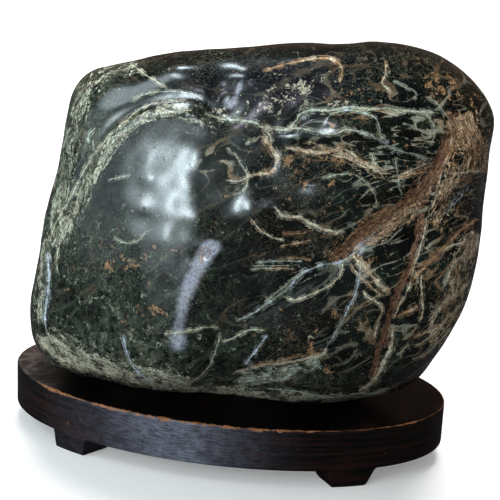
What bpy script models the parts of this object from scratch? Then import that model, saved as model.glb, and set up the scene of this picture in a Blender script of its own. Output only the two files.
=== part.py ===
"""A scholar's rock on its stand: a rounded block of polished, veined green-black stone that
rests in a shallow seat in an oval hardwood stand with four short bracket feet.

Metres, +Z up, +X to the right of the broad face, +Y to the back.  The origin is the middle of
the underside of the whole object's box.
"""

import math

import bmesh
import bpy
import numpy as np

# ---------------------------------------------------------------- driving dimensions

STAND_LENGTH = 0.247
STAND_WIDTH = 0.1335
WALL_HEIGHT = 0.0238
EDGE_ROUND = 0.0016
OVAL_SEGMENTS = 80

FOOT_HEIGHT = 0.0097
FOOT_SKEW = math.radians(12)
FLARE_STEPS = 6
# The feet are cut by eye: the side, how far out each pair stands, as a share of half the
# length, its width along the wall at the floor, its depth inward from the wall, and the flare
# of its inner and its outer side.
FEET = {
    "left": (-1, 0.630, 0.0185, 0.016, 0.0050, 0.0025),
    "right": (1, 0.634, 0.0175, 0.012, 0.0070, 0.0070),
}

SEAT_DEPTH = 0.005
FIT_GAP = 0.0004

# The stone's heart, from the middle of the stand's top.
HEART = (0.0154, -0.0004, 0.0929)

# The broad face looks to the right of front, and up, and leans a little.
FACE_TURN = math.radians(10.0)
FACE_TILT = math.radians(18.0)
FACE_LEAN = math.radians(2.8)

FRONT_DEPTH = 0.068
BACK_DEPTH = 0.072
SQUARENESS = 2.55
# How far the upper half is sheared forward to stand upright, with a bend of UPRIGHT_BEND, and
# the whole sheared round to lie along the stand, as shares of what would do it fully.
UPRIGHT = 0.75
UPRIGHT_BEND = 0.02
SQUARED = 0.9

# The face is laid out on a square template of 500 units a side, x to the right and y down.
# One unit is UNIT on the plane through the heart, seen from EYE in front of that plane.
UNIT = 0.00055
EYE = 0.825
TEMPLATE_MIDDLE = 250.0
HEART_X = 262.0
HEART_Y = 224.0
HEART_OFF_AXIS = np.array([HEART_X - TEMPLATE_MIDDLE, TEMPLATE_MIDDLE - HEART_Y]) * UNIT

# The stone's outline as the face shows it, clockwise from its lower left corner.
OUTLINE = (
    (36, 345), (31, 328), (31, 298), (42, 250), (49, 208), (59, 177), (66, 140), (71, 109),
    (76, 88), (92, 72), (127, 62), (175, 53), (250, 48), (330, 46), (375, 41), (417, 47),
    (444, 58), (476, 84), (490, 103), (496, 123), (489, 150), (484, 180), (483, 200),
    (483, 224), (478, 261), (469, 298), (455, 329), (435, 359), (416, 382), (392, 395),
    (345, 399), (300, 404), (260, 400), (228, 393), (173, 386), (141, 384), (108, 378),
    (76, 373), (54, 366),
)
# The outline's points are the widest that the eye sees, a little outside the middle plane.
OUTLINE_DRAW_IN = 0.985
# The outline keeps its corners at the rim and loses them toward the broad faces: the half
# width in degrees of the bell that softens it at either end, and the lean out of the rim's
# plane at which the change starts and how far on it is whole.
RIM_SOFTNESS = 1.6
BROAD_SOFTNESS = 22.0
RIM_BAND = 0.04
RIM_FADE = 0.45

# The settled underside's soft corner.
SETTLE_CORNER = 0.0022

STONE_GRID = 84
# How the grid's lines are shared out over the stone's length, height and depth.
GRID_SPREAD = (1.0, 0.8, 0.62)
STONE_TRIANGLES = 7600
SHARP_ANGLE = math.radians(35)

STONE_COLOUR = (0.020, 0.032, 0.026, 1.0)
STAND_COLOUR = (0.030, 0.014, 0.010, 1.0)

# ---------------------------------------------------------------- relief of the broad face
# A swelling is (middle, half size, tilt in degrees, height): a soft mound, or a hollow if the
# height is below zero.  Middles and half sizes are in template units, heights in millimetres.

SWELLINGS = {
    "belly": ((150, 238), (96, 122), -8, 8.0),
    "belly_foot": ((135, 330), (80, 40), 0, 2.5),
    "left_shoulder": ((92, 118), (24, 40), 12, 3.0),
    "top_dimple": ((226, 101), (21, 16), -15, -3.0),
    "top_knob": ((180, 74), (26, 14), -8, 2.2),
    "top_right_back": ((395, 80), (50, 26), 10, 2.0),
    "green_lens": ((350, 123), (32, 14), 4, 2.2),
    "middle_boss": ((250, 198), (26, 24), 0, 2.0),
    "tongue": ((330, 197), (50, 20), 2, 2.6),
    "under_tongue": ((300, 243), (52, 10), 12, -1.8),
    "low_lobe": ((285, 345), (60, 26), -10, 2.2),
    "wedge": ((372, 318), (22, 44), 8, 2.0),
    "right_cheek": ((462, 150), (22, 38), 6, 2.4),
    "right_flank": ((446, 262), (22, 50), 18, 3.0),
    "right_waist": ((470, 203), (22, 16), -20, -2.4),
    "eye": ((204, 255), (7, 6), 30, -1.3),
}

# A crease is (route, half width, depth, step): a groove along the route.  A step above zero
# raises what lies on the right hand as one walks the route and lowers the left, and it fades
# out over STEP_REACH units on both sides.  Both die out over the ends' END_TAPER of the route.

STEP_REACH = 22.0
END_TAPER = 0.15

# Over what part of the turn from the rim (0) to the broad face (1) each side's relief comes in.
FRONT_START = 0.02
FRONT_FADE = 0.3
BACK_FADE = 0.4

CREASES = {
    "arch": (
        ((58, 250), (68, 222), (80, 204), (93, 170), (113, 132), (138, 112), (166, 104),
         (198, 103), (216, 116), (244, 128)),
        7.0, 1.6, 1.3,
    ),
    "seam": (
        ((448, 104), (453, 126), (449, 143), (441, 160), (430, 179), (413, 199), (393, 214),
         (374, 227), (358, 239), (344, 251), (322, 272)),
        10.0, 2.8, 1.6,
    ),
    "side_seam": (
        ((422, 203), (415, 231), (412, 251), (407, 272), (400, 289), (394, 303), (389, 324),
         (384, 345), (379, 388)),
        8.0, 2.0, 1.2,
    ),
    "belly_edge": (
        ((230, 314), (219, 333), (213, 348), (208, 363), (200, 386)),
        7.0, 1.4, 1.2,
    ),
    "fold_over_lens": (
        ((254, 127), (286, 130), (304, 114), (345, 106), (395, 109), (440, 113)),
        6.0, 0.8, 0.9,
    ),
    "fold_under_lens": (
        ((262, 134), (300, 146), (338, 149), (366, 164), (400, 177)),
        6.0, 1.0, -0.7,
    ),
    "fold_over_tongue": (
        ((292, 183), (326, 177), (354, 176), (370, 187), (377, 200), (374, 218)),
        5.5, 0.8, 1.1,
    ),
    "hollow_by_boss": (
        ((256, 132), (271, 147), (271, 168), (248, 178)),
        5.5, 1.0, 0.6,
    ),
    "low_fold": (
        ((356, 258), (312, 277), (281, 297), (262, 309), (232, 324)),
        7.0, 0.8, 0.8,
    ),
    "low_vein": (
        ((357, 286), (348, 312), (332, 344), (300, 360), (250, 369), (212, 375)),
        6.5, 0.7, 0.7,
    ),
    "flank_fold": (
        ((484, 214), (462, 230), (445, 246), (420, 273), (402, 292)),
        6.0, 1.0, 0.8,
    ),
    "foot_roll": (
        ((200, 383), (246, 387), (300, 392), (350, 390), (396, 382)),
        4.5, 0.9, 0.6,
    ),
}

# The hidden back: the same sort of swellings and creases, in millimetres from the heart,
# x to the right as the front sees it and y up.

BACK_SWELLINGS = {
    "broad_back": ((-30, 10), (70, 55), 10, 6.0),
    "high_right": ((65, 45), (38, 30), -20, 4.0),
    "low_right": ((55, -45), (45, 26), 15, 3.5),
    "waist": ((20, 0), (22, 60), 25, -3.0),
    "low_hollow": ((-60, -50), (26, 18), -10, -3.0),
    "high_hollow": ((-70, 55), (24, 16), 20, -2.0),
}

BACK_CREASES = {
    "long_seam": (
        ((48, 84), (34, 52), (26, 26), (10, 2), (4, -24), (16, -52), (22, -84)),
        6.5, 2.4, 1.4,
    ),
    "cross_fold": (
        ((22, 26), (54, 14), (84, 12), (118, 4)),
        5.0, 1.2, 1.0,
    ),
    "left_fold": (
        ((6, -24), (-22, -34), (-54, -34), (-86, -26), (-118, -30)),
        5.0, 1.1, -1.0,
    ),
}

BROAD_WAVES = (
    # direction of travel on the face frame, waves a metre, phase, height in millimetres
    ((1.0, 0.35, 0.6), 17.0, 0.4, 0.9),
    ((-0.4, 1.0, 0.5), 22.0, 1.9, 0.8),
    ((0.5, -0.6, 1.0), 26.0, 3.1, 0.7),
)

MM = 0.001


# ---------------------------------------------------------------- helpers

def clear_scene():
    for item in list(bpy.context.scene.objects):
        bpy.data.objects.remove(item, do_unlink=True)


def new_collection(name):
    collection = bpy.data.collections.new(name)
    bpy.context.scene.collection.children.link(collection)
    return collection


def new_object(name, mesh_builder, collection):
    mesh = bpy.data.meshes.new(name)
    mesh_builder.to_mesh(mesh)
    mesh_builder.free()
    item = bpy.data.objects.new(name, mesh)
    collection.objects.link(item)
    return item


def hide_helper(item):
    item.hide_render = True
    item.display_type = "WIRE"


def plain_material(name, colour, roughness):
    material = bpy.data.materials.new(name)
    material.use_nodes = True
    shader = material.node_tree.nodes["Principled BSDF"]
    shader.inputs["Base Color"].default_value = colour
    shader.inputs["Roughness"].default_value = roughness
    shader.inputs["Coat Weight"].default_value = 0.6
    material.diffuse_color = colour
    return material


def add_boolean(item, other, operation):
    boolean = item.modifiers.new(other.name, "BOOLEAN")
    boolean.operation = operation
    boolean.solver = "EXACT"
    boolean.object = other


def smooth_step(value):
    value = np.clip(value, 0.0, 1.0)
    return value * value * (3.0 - 2.0 * value)


# ---------------------------------------------------------------- curves on the template

def through_points(points, closed, steps=10):
    """A Catmull-Rom curve through the points, as a dense polyline."""
    points = np.array(points, float)
    if closed:
        ring = np.vstack([points[-1], points, points[:2]])
    else:
        first = 2 * points[0] - points[1]
        last = 2 * points[-1] - points[-2]
        ring = np.vstack([first, points, last])
    before, start, end, after = (ring[k:len(ring) - 3 + k, None] for k in range(4))
    t = np.linspace(0, 1, steps, endpoint=False)[None, :, None]
    curve = 0.5 * (
        2 * start + (end - before) * t
        + (2 * before - 5 * start + 4 * end - after) * t ** 2
        + (3 * start - before - 3 * end + after) * t ** 3
    )
    curve = curve.reshape(-1, 2)
    return curve if closed else np.vstack([curve, points[-1]])


def distance_to(route, x, y):
    """Distance to the curve through the route's points, the side, and how far along, 0 to 1.

    The side is +1 on the right hand of someone who walks the route with y down the page.
    """
    curve = through_points(route, closed=False, steps=4)
    nearest = np.full(x.shape, np.inf)
    side = np.ones(x.shape)
    along = np.zeros(x.shape)
    pieces = len(curve) - 1
    for number in range(pieces):
        (ax, ay), (bx, by) = curve[number], curve[number + 1]
        length = (bx - ax) ** 2 + (by - ay) ** 2
        t = np.clip(((x - ax) * (bx - ax) + (y - ay) * (by - ay)) / length, 0, 1)
        gap = np.hypot(x - ax - t * (bx - ax), y - ay - t * (by - ay))
        closer = gap < nearest
        nearest = np.where(closer, gap, nearest)
        side = np.where(closer, np.sign((bx - ax) * (y - ay) - (by - ay) * (x - ax)), side)
        along = np.where(closer, (number + t) / pieces, along)
    return nearest, side, along


def swelling_height(swelling, x, y):
    """A bell-shaped mound on an oval that is turned by its tilt."""
    (mid_x, mid_y), (half_x, half_y), tilt, height = swelling
    turn = math.radians(tilt)
    across = ((x - mid_x) * math.cos(turn) + (y - mid_y) * math.sin(turn)) / half_x
    down = ((y - mid_y) * math.cos(turn) - (x - mid_x) * math.sin(turn)) / half_y
    return height * np.exp(-(across ** 2 + down ** 2))


def crease_height(crease, x, y):
    """A rounded groove with a step across it, dying out at both ends of its route."""
    route, half_width, depth, step = crease
    gap, side, along = distance_to(route, x, y)
    ends = smooth_step(along / END_TAPER) * smooth_step((1 - along) / END_TAPER)
    groove = -depth * np.exp(-(gap / half_width) ** 2)
    ledge = step * side * (1 - np.exp(-gap / half_width)) * np.exp(-gap / STEP_REACH)
    return ends * (groove + ledge)


# ---------------------------------------------------------------- the stone

def face_axes():
    """The stone's own axes: right and up across its broad face, and toward, out of it."""
    right = np.array([math.cos(FACE_TURN), math.sin(FACE_TURN), 0.0])
    toward = np.array([
        math.sin(FACE_TURN) * math.cos(FACE_TILT),
        -math.cos(FACE_TURN) * math.cos(FACE_TILT),
        math.sin(FACE_TILT),
    ])
    up = np.cross(toward, right)
    lean_right = right * math.cos(FACE_LEAN) + up * math.sin(FACE_LEAN)
    lean_up = up * math.cos(FACE_LEAN) - right * math.sin(FACE_LEAN)
    return np.array([lean_right, lean_up, toward])


def outline_radius(softness):
    """The outline's radius from the heart, in metres, at quarter degrees of the compass.

    The softness is the half width in degrees of the bell that rounds off its corners.
    """
    curve = through_points(OUTLINE, closed=True)
    across = (curve[:, 0] - HEART_X) * UNIT
    up = (HEART_Y - curve[:, 1]) * UNIT
    angle = np.arctan2(up, across)
    order = np.argsort(angle)
    compass = np.radians(np.arange(0, 360, 0.25))
    radius = np.interp(compass, angle[order], np.hypot(across, up)[order], period=2 * math.pi)
    offsets = np.minimum(compass, 2 * math.pi - compass)
    bell = np.exp(-(offsets / math.radians(softness)) ** 2)
    soft = np.fft.irfft(np.fft.rfft(radius) * np.fft.rfft(bell / bell.sum()), len(radius))
    return compass, soft * OUTLINE_DRAW_IN


def block_surface(ways):
    """Points of the bare block in the face frame, along the unit vectors ways.

    The block is (h / outline radius) ** n + (depth / half depth) ** n = 1, where h is the
    distance from the axis through the heart and n is the squareness.  The outline's corners
    soften away from the rim, and shears bring the block upright and in line with its stand.
    """
    compass, rim_radius = outline_radius(RIM_SOFTNESS)
    _, broad_radius = outline_radius(BROAD_SOFTNESS)
    h = np.maximum(np.hypot(ways[:, 0], ways[:, 1]), 1e-9)
    angle = np.arctan2(ways[:, 1], ways[:, 0])
    rim = np.interp(angle, compass, rim_radius, period=2 * math.pi)
    broad = np.interp(angle, compass, broad_radius, period=2 * math.pi)
    away = smooth_step((np.abs(ways[:, 2]) - RIM_BAND) / RIM_FADE)
    radius = rim + (broad - rim) * away
    half_depth = np.where(ways[:, 2] > 0, FRONT_DEPTH, BACK_DEPTH)
    n = SQUARENESS
    size = ((h / radius) ** n + (np.abs(ways[:, 2]) / half_depth) ** n) ** (-1 / n)
    points = ways * size[:, None]
    upper = UPRIGHT_BEND * np.logaddexp(0, points[:, 1] / UPRIGHT_BEND)
    forward = UPRIGHT * math.tan(FACE_TILT) * upper + SQUARED * math.tan(FACE_TURN) * points[:, 0]
    points[:, 2] += forward
    # What comes nearer to the eye is drawn in, so that the outline stays on the template's.
    drawn_in = (1 - forward / EYE)[:, None]
    points[:, :2] = (points[:, :2] + HEART_OFF_AXIS) * drawn_in - HEART_OFF_AXIS
    return points


def block_normals(ways):
    """Outward normals of the bare block, from the slope of the surface along two tangents."""
    helper = np.where(np.abs(ways[:, :1]) < 0.8, np.array([[1.0, 0, 0]]), np.array([[0, 1.0, 0]]))
    first = np.cross(ways, helper)
    first /= np.linalg.norm(first, axis=1)[:, None]
    second = np.cross(ways, first)
    small_turn = 0.004
    slopes = []
    for tangent in (first, second):
        ends = [ways + sign * small_turn * tangent for sign in (1, -1)]
        ends = [end / np.linalg.norm(end, axis=1)[:, None] for end in ends]
        slopes.append(block_surface(ends[0]) - block_surface(ends[1]))
    normals = np.cross(slopes[0], slopes[1])
    normals /= np.linalg.norm(normals, axis=1)[:, None]
    return normals * np.sign(np.sum(normals * ways, axis=1))[:, None]


def template_place(points):
    """Where the eye sees the points on the template."""
    nearness = EYE / (EYE - points[:, 2])
    across = (points[:, 0] + HEART_OFF_AXIS[0]) * nearness / UNIT
    up = (points[:, 1] + HEART_OFF_AXIS[1]) * nearness / UNIT
    return TEMPLATE_MIDDLE + across, TEMPLATE_MIDDLE - up


def relief(points, normals):
    """Height to add along the normals, in metres."""
    x, y = template_place(points)
    front = sum(swelling_height(item, x, y) for item in SWELLINGS.values())
    front = front + sum(crease_height(item, x, y) for item in CREASES.values())
    x, y = points[:, 0] / MM, points[:, 1] / MM
    back = sum(swelling_height(item, x, y) for item in BACK_SWELLINGS.values())
    back = back + sum(crease_height(item, x, y) for item in BACK_CREASES.values())
    facing = normals[:, 2]
    height = front * smooth_step((facing - FRONT_START) / FRONT_FADE)
    height = height + back * smooth_step(-facing / BACK_FADE)
    off_front = 1 - smooth_step(facing / FRONT_FADE)
    for way, waves, phase, tall in BROAD_WAVES:
        travel = points @ (np.array(way) / np.linalg.norm(way))
        height = height + off_front * tall * np.sin(2 * math.pi * waves * travel + phase)
    return height * MM


def settle(points, seat_level):
    """Flattens what would reach below the seat level, with a soft corner."""
    lift = (points[:, 2] - seat_level) / SETTLE_CORNER
    points[:, 2] = seat_level + SETTLE_CORNER * np.logaddexp(0.0, lift)
    return points


def stone_points(cube_points, stand_top):
    """Stone surface points for points on a cube from -1 to 1, whose lines fan out evenly."""
    ways = np.tan(cube_points * math.pi / 4) * np.array(GRID_SPREAD)
    ways = ways / np.linalg.norm(ways, axis=1)[:, None]
    points = block_surface(ways)
    normals = block_normals(ways)
    points = points + normals * relief(points, normals)[:, None]
    world = points @ face_axes() + np.array(HEART) + np.array([0, 0, stand_top])
    return settle(world, stand_top - SEAT_DEPTH)


def build_stone(collection, stand_top):
    """The stone: a finely divided cube pressed to the stone's surface, then thinned."""
    builder = bmesh.new()
    bmesh.ops.create_cube(builder, size=2.0)
    bmesh.ops.subdivide_edges(
        builder, edges=builder.edges, cuts=STONE_GRID - 1, use_grid_fill=True
    )
    stone = new_object("rock", builder, collection)
    cube_points = np.empty(len(stone.data.vertices) * 3, np.float32)
    stone.data.vertices.foreach_get("co", cube_points)
    cube_points = cube_points.reshape(-1, 3).astype(float)
    points = stone_points(cube_points, stand_top)
    stone.data.vertices.foreach_set("co", points.astype(np.float32).ravel())
    stone.data.update()
    thin = stone.modifiers.new("thin", "DECIMATE")
    thin.ratio = STONE_TRIANGLES / (12 * STONE_GRID ** 2)
    stone.data.shade_smooth()
    stone.data.materials.append(plain_material("polished green-black stone", STONE_COLOUR, 0.22))
    return stone


# ---------------------------------------------------------------- the stand

def oval_cylinder(name, collection, bottom, top):
    builder = bmesh.new()
    bmesh.ops.create_cone(
        builder, cap_ends=True, segments=OVAL_SEGMENTS, radius1=1.0, radius2=1.0, depth=1.0
    )
    for vertex in builder.verts:
        vertex.co.x *= STAND_LENGTH / 2
        vertex.co.y *= STAND_WIDTH / 2
        vertex.co.z = top if vertex.co.z > 0 else bottom
    return new_object(name, builder, collection)


def box(name, collection, low, high):
    builder = bmesh.new()
    bmesh.ops.create_cube(builder, size=1.0)
    for vertex in builder.verts:
        for axis in range(3):
            vertex.co[axis] = high[axis] if vertex.co[axis] > 0 else low[axis]
    return new_object(name, builder, collection)


def foot_side(width, flare):
    """One side of a foot's outline across the wall, floor first: an ogee out to the wall."""
    steps = np.linspace(0, 1, FLARE_STEPS + 1)
    across = width / 2 + flare * steps
    up = FOOT_HEIGHT * smooth_step(steps)
    below = (across[0], -2 * FOOT_HEIGHT)
    above = (across[-1], 1.5 * FOOT_HEIGHT)
    return [below, *zip(across, up), above]


def foot_block(name, collection, side_x, side_y, out, width, depth, flares):
    """A prism with the foot's outline that runs out through the wall from its depth inside."""
    inner, outer = (foot_side(width, flare) for flare in flares)
    outline = inner + [(-across, up) for across, up in reversed(outer)]
    wall_x = out * STAND_LENGTH / 2
    wall_y = STAND_WIDTH / 2 * math.sqrt(1 - out ** 2)
    outward = math.atan2(wall_y / STAND_WIDTH ** 2, wall_x / STAND_LENGTH ** 2) - FOOT_SKEW
    out_x, out_y = math.cos(outward), math.sin(outward)
    builder = bmesh.new()
    ring = []
    for across, up in outline:
        x = wall_x - depth * out_x - across * out_y
        y = wall_y - depth * out_y + across * out_x
        ring.append(builder.verts.new((side_x * x, side_y * y, up)))
    face = builder.faces.new(ring)
    grown = bmesh.ops.extrude_face_region(builder, geom=[face])
    reach = 3 * depth
    for item in grown["geom"]:
        if isinstance(item, bmesh.types.BMVert):
            item.co.x += side_x * out_x * reach
            item.co.y += side_y * out_y * reach
    bmesh.ops.recalc_face_normals(builder, faces=builder.faces)
    block = new_object(name, builder, collection)
    hide_helper(block)
    return block


def build_stand(collection, helpers, seat_cutter):
    """One oval block of wood with its underside cut away between the feet and a seat on top."""
    stand_top = FOOT_HEIGHT + WALL_HEIGHT
    stand = oval_cylinder("stand", collection, 0.0, stand_top)
    bevel = stand.modifiers.new("edge", "BEVEL")
    bevel.width = EDGE_ROUND
    bevel.segments = 3
    bevel.limit_method = "ANGLE"
    bevel.angle_limit = SHARP_ANGLE
    room = 0.02
    under_cut = box(
        "under_cut", helpers,
        (-STAND_LENGTH, -STAND_WIDTH, -room), (STAND_LENGTH, STAND_WIDTH, FOOT_HEIGHT),
    )
    hide_helper(under_cut)
    for hand, (side_x, out, width, depth, *flares) in FEET.items():
        for end, side_y in (("front", -1), ("back", 1)):
            foot = foot_block(
                f"foot_{hand}_{end}", helpers, side_x, side_y, out, width, depth, flares
            )
            add_boolean(under_cut, foot, "DIFFERENCE")
    add_boolean(stand, under_cut, "DIFFERENCE")
    add_boolean(stand, seat_cutter, "DIFFERENCE")
    stand.data.shade_smooth()
    stand.data.set_sharp_from_angle(angle=SHARP_ANGLE)
    stand.data.materials.append(plain_material("dark lacquered hardwood", STAND_COLOUR, 0.42))
    return stand


def build_seat_cutter(stone, helpers):
    """The stone's own form, grown by the fit gap, to carve the seat with."""
    graph = bpy.context.evaluated_depsgraph_get()
    mesh = bpy.data.meshes.new_from_object(stone.evaluated_get(graph))
    cutter = bpy.data.objects.new("seat_cutter", mesh)
    helpers.objects.link(cutter)
    grow = cutter.modifiers.new("fit_gap", "DISPLACE")
    grow.strength = FIT_GAP
    grow.mid_level = 0.0
    hide_helper(cutter)
    return cutter


def middle_of(items):
    """The middle of the box around the items, in x and y."""
    graph = bpy.context.evaluated_depsgraph_get()
    corners = []
    for item in items:
        evaluated = item.evaluated_get(graph)
        corners.extend(evaluated.matrix_world @ vertex.co for vertex in evaluated.data.vertices)
    corners = np.array(corners)
    middle = (corners.min(axis=0) + corners.max(axis=0)) / 2
    return middle[0], middle[1]


def main():
    clear_scene()
    parts = new_collection("scholars_rock")
    helpers = new_collection("cutters")
    stand_top = FOOT_HEIGHT + WALL_HEIGHT
    stone = build_stone(parts, stand_top)
    seat_cutter = build_seat_cutter(stone, helpers)
    stand = build_stand(parts, helpers, seat_cutter)
    middle_x, middle_y = middle_of([stone, stand])
    for item in [*parts.objects, *helpers.objects]:
        item.location.x -= middle_x
        item.location.y -= middle_y


main()
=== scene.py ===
# %% [markdown]
# # A polished scholar's rock on its stand
#
# A scholar's rock is a natural boulder, chosen for its form and markings, polished by hand and
# set in a stand that is carved to fit it.  This lesson makes both.  The stone is one surface
# worked out from a formula, with its folds and creases added as heights, and its veins are
# distances to drawn lines.  The stand is one carved block, with its rim, wall
# and feet as rows of one grid.
#
# The imported solids give every size and place, so the lesson starts by loading them.

# %% Load the solids that the pieces have to match
import math

import bpy
import numpy as np
from mathutils import Matrix, Quaternion, Vector


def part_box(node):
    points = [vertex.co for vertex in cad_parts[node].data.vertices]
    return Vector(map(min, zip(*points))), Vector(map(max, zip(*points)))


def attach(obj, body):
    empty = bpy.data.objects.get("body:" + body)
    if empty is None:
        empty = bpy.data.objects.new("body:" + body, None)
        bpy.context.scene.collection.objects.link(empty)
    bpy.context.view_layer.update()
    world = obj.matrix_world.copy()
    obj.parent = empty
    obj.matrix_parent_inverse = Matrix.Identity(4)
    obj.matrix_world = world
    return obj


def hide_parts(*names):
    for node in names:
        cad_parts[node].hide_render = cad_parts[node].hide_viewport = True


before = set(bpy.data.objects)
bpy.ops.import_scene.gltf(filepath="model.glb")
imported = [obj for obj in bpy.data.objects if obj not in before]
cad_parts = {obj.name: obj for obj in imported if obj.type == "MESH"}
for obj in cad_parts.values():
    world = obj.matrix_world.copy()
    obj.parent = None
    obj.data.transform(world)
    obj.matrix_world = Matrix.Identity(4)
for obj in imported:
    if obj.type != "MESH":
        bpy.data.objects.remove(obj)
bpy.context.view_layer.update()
MM = 0.001
stand_low, stand_high = (np.array(corner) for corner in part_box("stand"))
STAND_TOP = stand_high[2]
STAND_MIDDLE = (stand_low + stand_high) / 2
print("solids:", sorted(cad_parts), "the stand's top is at", round(STAND_TOP / MM, 1), "mm")

# %% [markdown]
# ## Where the eye stands
#
# The stone's broad face turns a little to the right, tilts up and leans.  Its features are laid
# out on a template of 500 units a side, x to the right and y down, that stands in front of that
# face.  A point of the stone falls on the template where the eye sees it, so the template can
# place a swelling or a vein on any part of the face that the eye sees.

# %% The face's own axes, and the template
FACE_TURN = math.radians(10.0)
FACE_TILT = math.radians(18.0)
FACE_LEAN = math.radians(2.8)
UNIT = 0.00055
EYE = 0.825
TEMPLATE_MIDDLE = 250.0
HEART_PLACE = (262.0, 224.0)
HEART = np.array([STAND_MIDDLE[0] + 0.0154, STAND_MIDDLE[1] - 0.0004, STAND_TOP + 0.0929])
HEART_OFF_AXIS = np.array([HEART_PLACE[0] - TEMPLATE_MIDDLE, TEMPLATE_MIDDLE - HEART_PLACE[1]]) * UNIT


def face_axes():
    """Rows are right and up across the broad face, and toward, out of it to the eye."""
    right = np.array([math.cos(FACE_TURN), math.sin(FACE_TURN), 0.0])
    level = math.cos(FACE_TILT)
    toward = np.array([math.sin(FACE_TURN) * level, -math.cos(FACE_TURN) * level, math.sin(FACE_TILT)])
    up = np.cross(toward, right)
    lean_right = right * math.cos(FACE_LEAN) + up * math.sin(FACE_LEAN)
    lean_up = up * math.cos(FACE_LEAN) - right * math.sin(FACE_LEAN)
    return np.array([lean_right, lean_up, toward])


AXES = face_axes()
EYE_PLACE = HEART + EYE * AXES[2] - HEART_OFF_AXIS @ AXES[:2]


def template_place(points):
    """Template x and y of points in the face frame: x = middle + across * EYE / distance / UNIT."""
    nearness = EYE / (EYE - points[:, 2])
    across = (points[:, 0] + HEART_OFF_AXIS[0]) * nearness / UNIT
    up = (points[:, 1] + HEART_OFF_AXIS[1]) * nearness / UNIT
    return TEMPLATE_MIDDLE + across, TEMPLATE_MIDDLE - up


print("the eye is", round(float(np.linalg.norm(EYE_PLACE - HEART)), 3), "m from the stone's heart")

# %% [markdown]
# ## Curves, and the distance to them
#
# Folds, creases and veins all follow smooth curves through a few points.  The signed distance
# to such a curve tells on which side a point lies and how far off, and that one number makes a
# groove, a step or a painted line.

# %% Smooth curves and signed distances
def smooth_step(value):
    """3 v^2 - 2 v^3 between 0 and 1."""
    value = np.clip(value, 0.0, 1.0)
    return value * value * (3.0 - 2.0 * value)


def through_points(points, closed=False, steps=4):
    """A Catmull-Rom curve through the points, as a dense polyline."""
    points = np.array(points, float)
    if closed:
        ring = np.vstack([points[-1], points, points[:2]])
    else:
        ring = np.vstack([2 * points[0] - points[1], points, 2 * points[-1] - points[-2]])
    before, start, end, after = (ring[k:len(ring) - 3 + k, None] for k in range(4))
    t = np.linspace(0, 1, steps, endpoint=False)[None, :, None]
    curve = 0.5 * (
        2 * start + (end - before) * t
        + (2 * before - 5 * start + 4 * end - after) * t ** 2
        + (3 * start - before - 3 * end + after) * t ** 3
    )
    curve = curve.reshape(-1, 2)
    return curve if closed else np.vstack([curve, points[-1]])


def follow(route, x, y, reach):
    """Distance to the route's curve, its side, the share along it and the length along it.

    The side is +1 on the right hand of someone who walks the route with y down the page.
    Points further off than reach are left at reach.
    """
    curve = through_points(route)
    low, high = curve.min(axis=0) - reach, curve.max(axis=0) + reach
    near = (x > low[0]) & (x < high[0]) & (y > low[1]) & (y < high[1])
    px, py = x[near], y[near]
    best = np.full(px.shape, float(reach))
    side, share, length = np.ones(px.shape), np.zeros(px.shape), np.zeros(px.shape)
    pieces = len(curve) - 1
    walked = 0.0
    for number in range(pieces):
        (ax, ay), (bx, by) = curve[number], curve[number + 1]
        run = math.hypot(bx - ax, by - ay)
        t = ((px - ax) * (bx - ax) + (py - ay) * (by - ay)) / run ** 2
        t = np.clip(t, 0, 1)
        gap = np.hypot(px - ax - t * (bx - ax), py - ay - t * (by - ay))
        closer = gap < best
        best = np.where(closer, gap, best)
        turn = np.sign((bx - ax) * (py - ay) - (by - ay) * (px - ax))
        side = np.where(closer, turn, side)
        share = np.where(closer, (number + t) / pieces, share)
        length = np.where(closer, walked + t * run, length)
        walked += run
    found = [np.full(x.shape, fill) for fill in (float(reach), 1.0, 0.0, 0.0)]
    for whole, part in zip(found, (best, side, share, length)):
        whole[near] = part
    return found


print("helpers ready: smooth_step, through_points, follow")

# %% [markdown]
# ## The bare block
#
# Before its folds, the boulder is a rounded block: a squarish oval in depth, with a free
# outline as its rim.  In the face frame a point at distance h from the axis through the heart,
# in the direction where the outline's radius is r, and at depth d, lies on it where
# (h / r) ** n + (d / half depth) ** n = 1.  One formula gives a smooth closed surface with no
# seams, which a sculpted cage would need many more numbers for.

# %% The outline and the block
FRONT_DEPTH = 0.068
BACK_DEPTH = 0.072
SQUARENESS = 2.55
UPRIGHT = 0.75
UPRIGHT_BEND = 0.02
SQUARED = 0.9
OUTLINE = (
    (36, 345), (31, 328), (31, 298), (42, 250), (49, 208), (59, 177), (66, 140), (71, 109),
    (76, 88), (92, 72), (127, 62), (175, 53), (250, 48), (330, 46), (375, 41), (417, 47),
    (444, 58), (476, 84), (490, 103), (496, 123), (489, 150), (484, 180), (483, 200),
    (483, 224), (478, 261), (469, 298), (455, 329), (435, 359), (416, 382), (392, 395),
    (345, 399), (300, 404), (260, 400), (228, 393), (173, 386), (141, 384), (108, 378),
    (76, 373), (54, 366),
)
OUTLINE_DRAW_IN = 0.985
RIM_SOFTNESS = 1.6
BROAD_SOFTNESS = 22.0
RIM_BAND = 0.04
RIM_FADE = 0.45


def outline_radius(softness):
    """The outline's radius from the heart at quarter degrees, rounded by a bell in degrees."""
    curve = through_points(OUTLINE, closed=True, steps=10)
    across = (curve[:, 0] - HEART_PLACE[0]) * UNIT
    up = (HEART_PLACE[1] - curve[:, 1]) * UNIT
    angle = np.arctan2(up, across)
    order = np.argsort(angle)
    compass = np.radians(np.arange(0, 360, 0.25))
    radius = np.interp(compass, angle[order], np.hypot(across, up)[order], period=2 * math.pi)
    offsets = np.minimum(compass, 2 * math.pi - compass)
    bell = np.exp(-(offsets / math.radians(softness)) ** 2)
    soft = np.fft.irfft(np.fft.rfft(radius) * np.fft.rfft(bell / bell.sum()), len(radius))
    return compass, soft * OUTLINE_DRAW_IN


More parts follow.
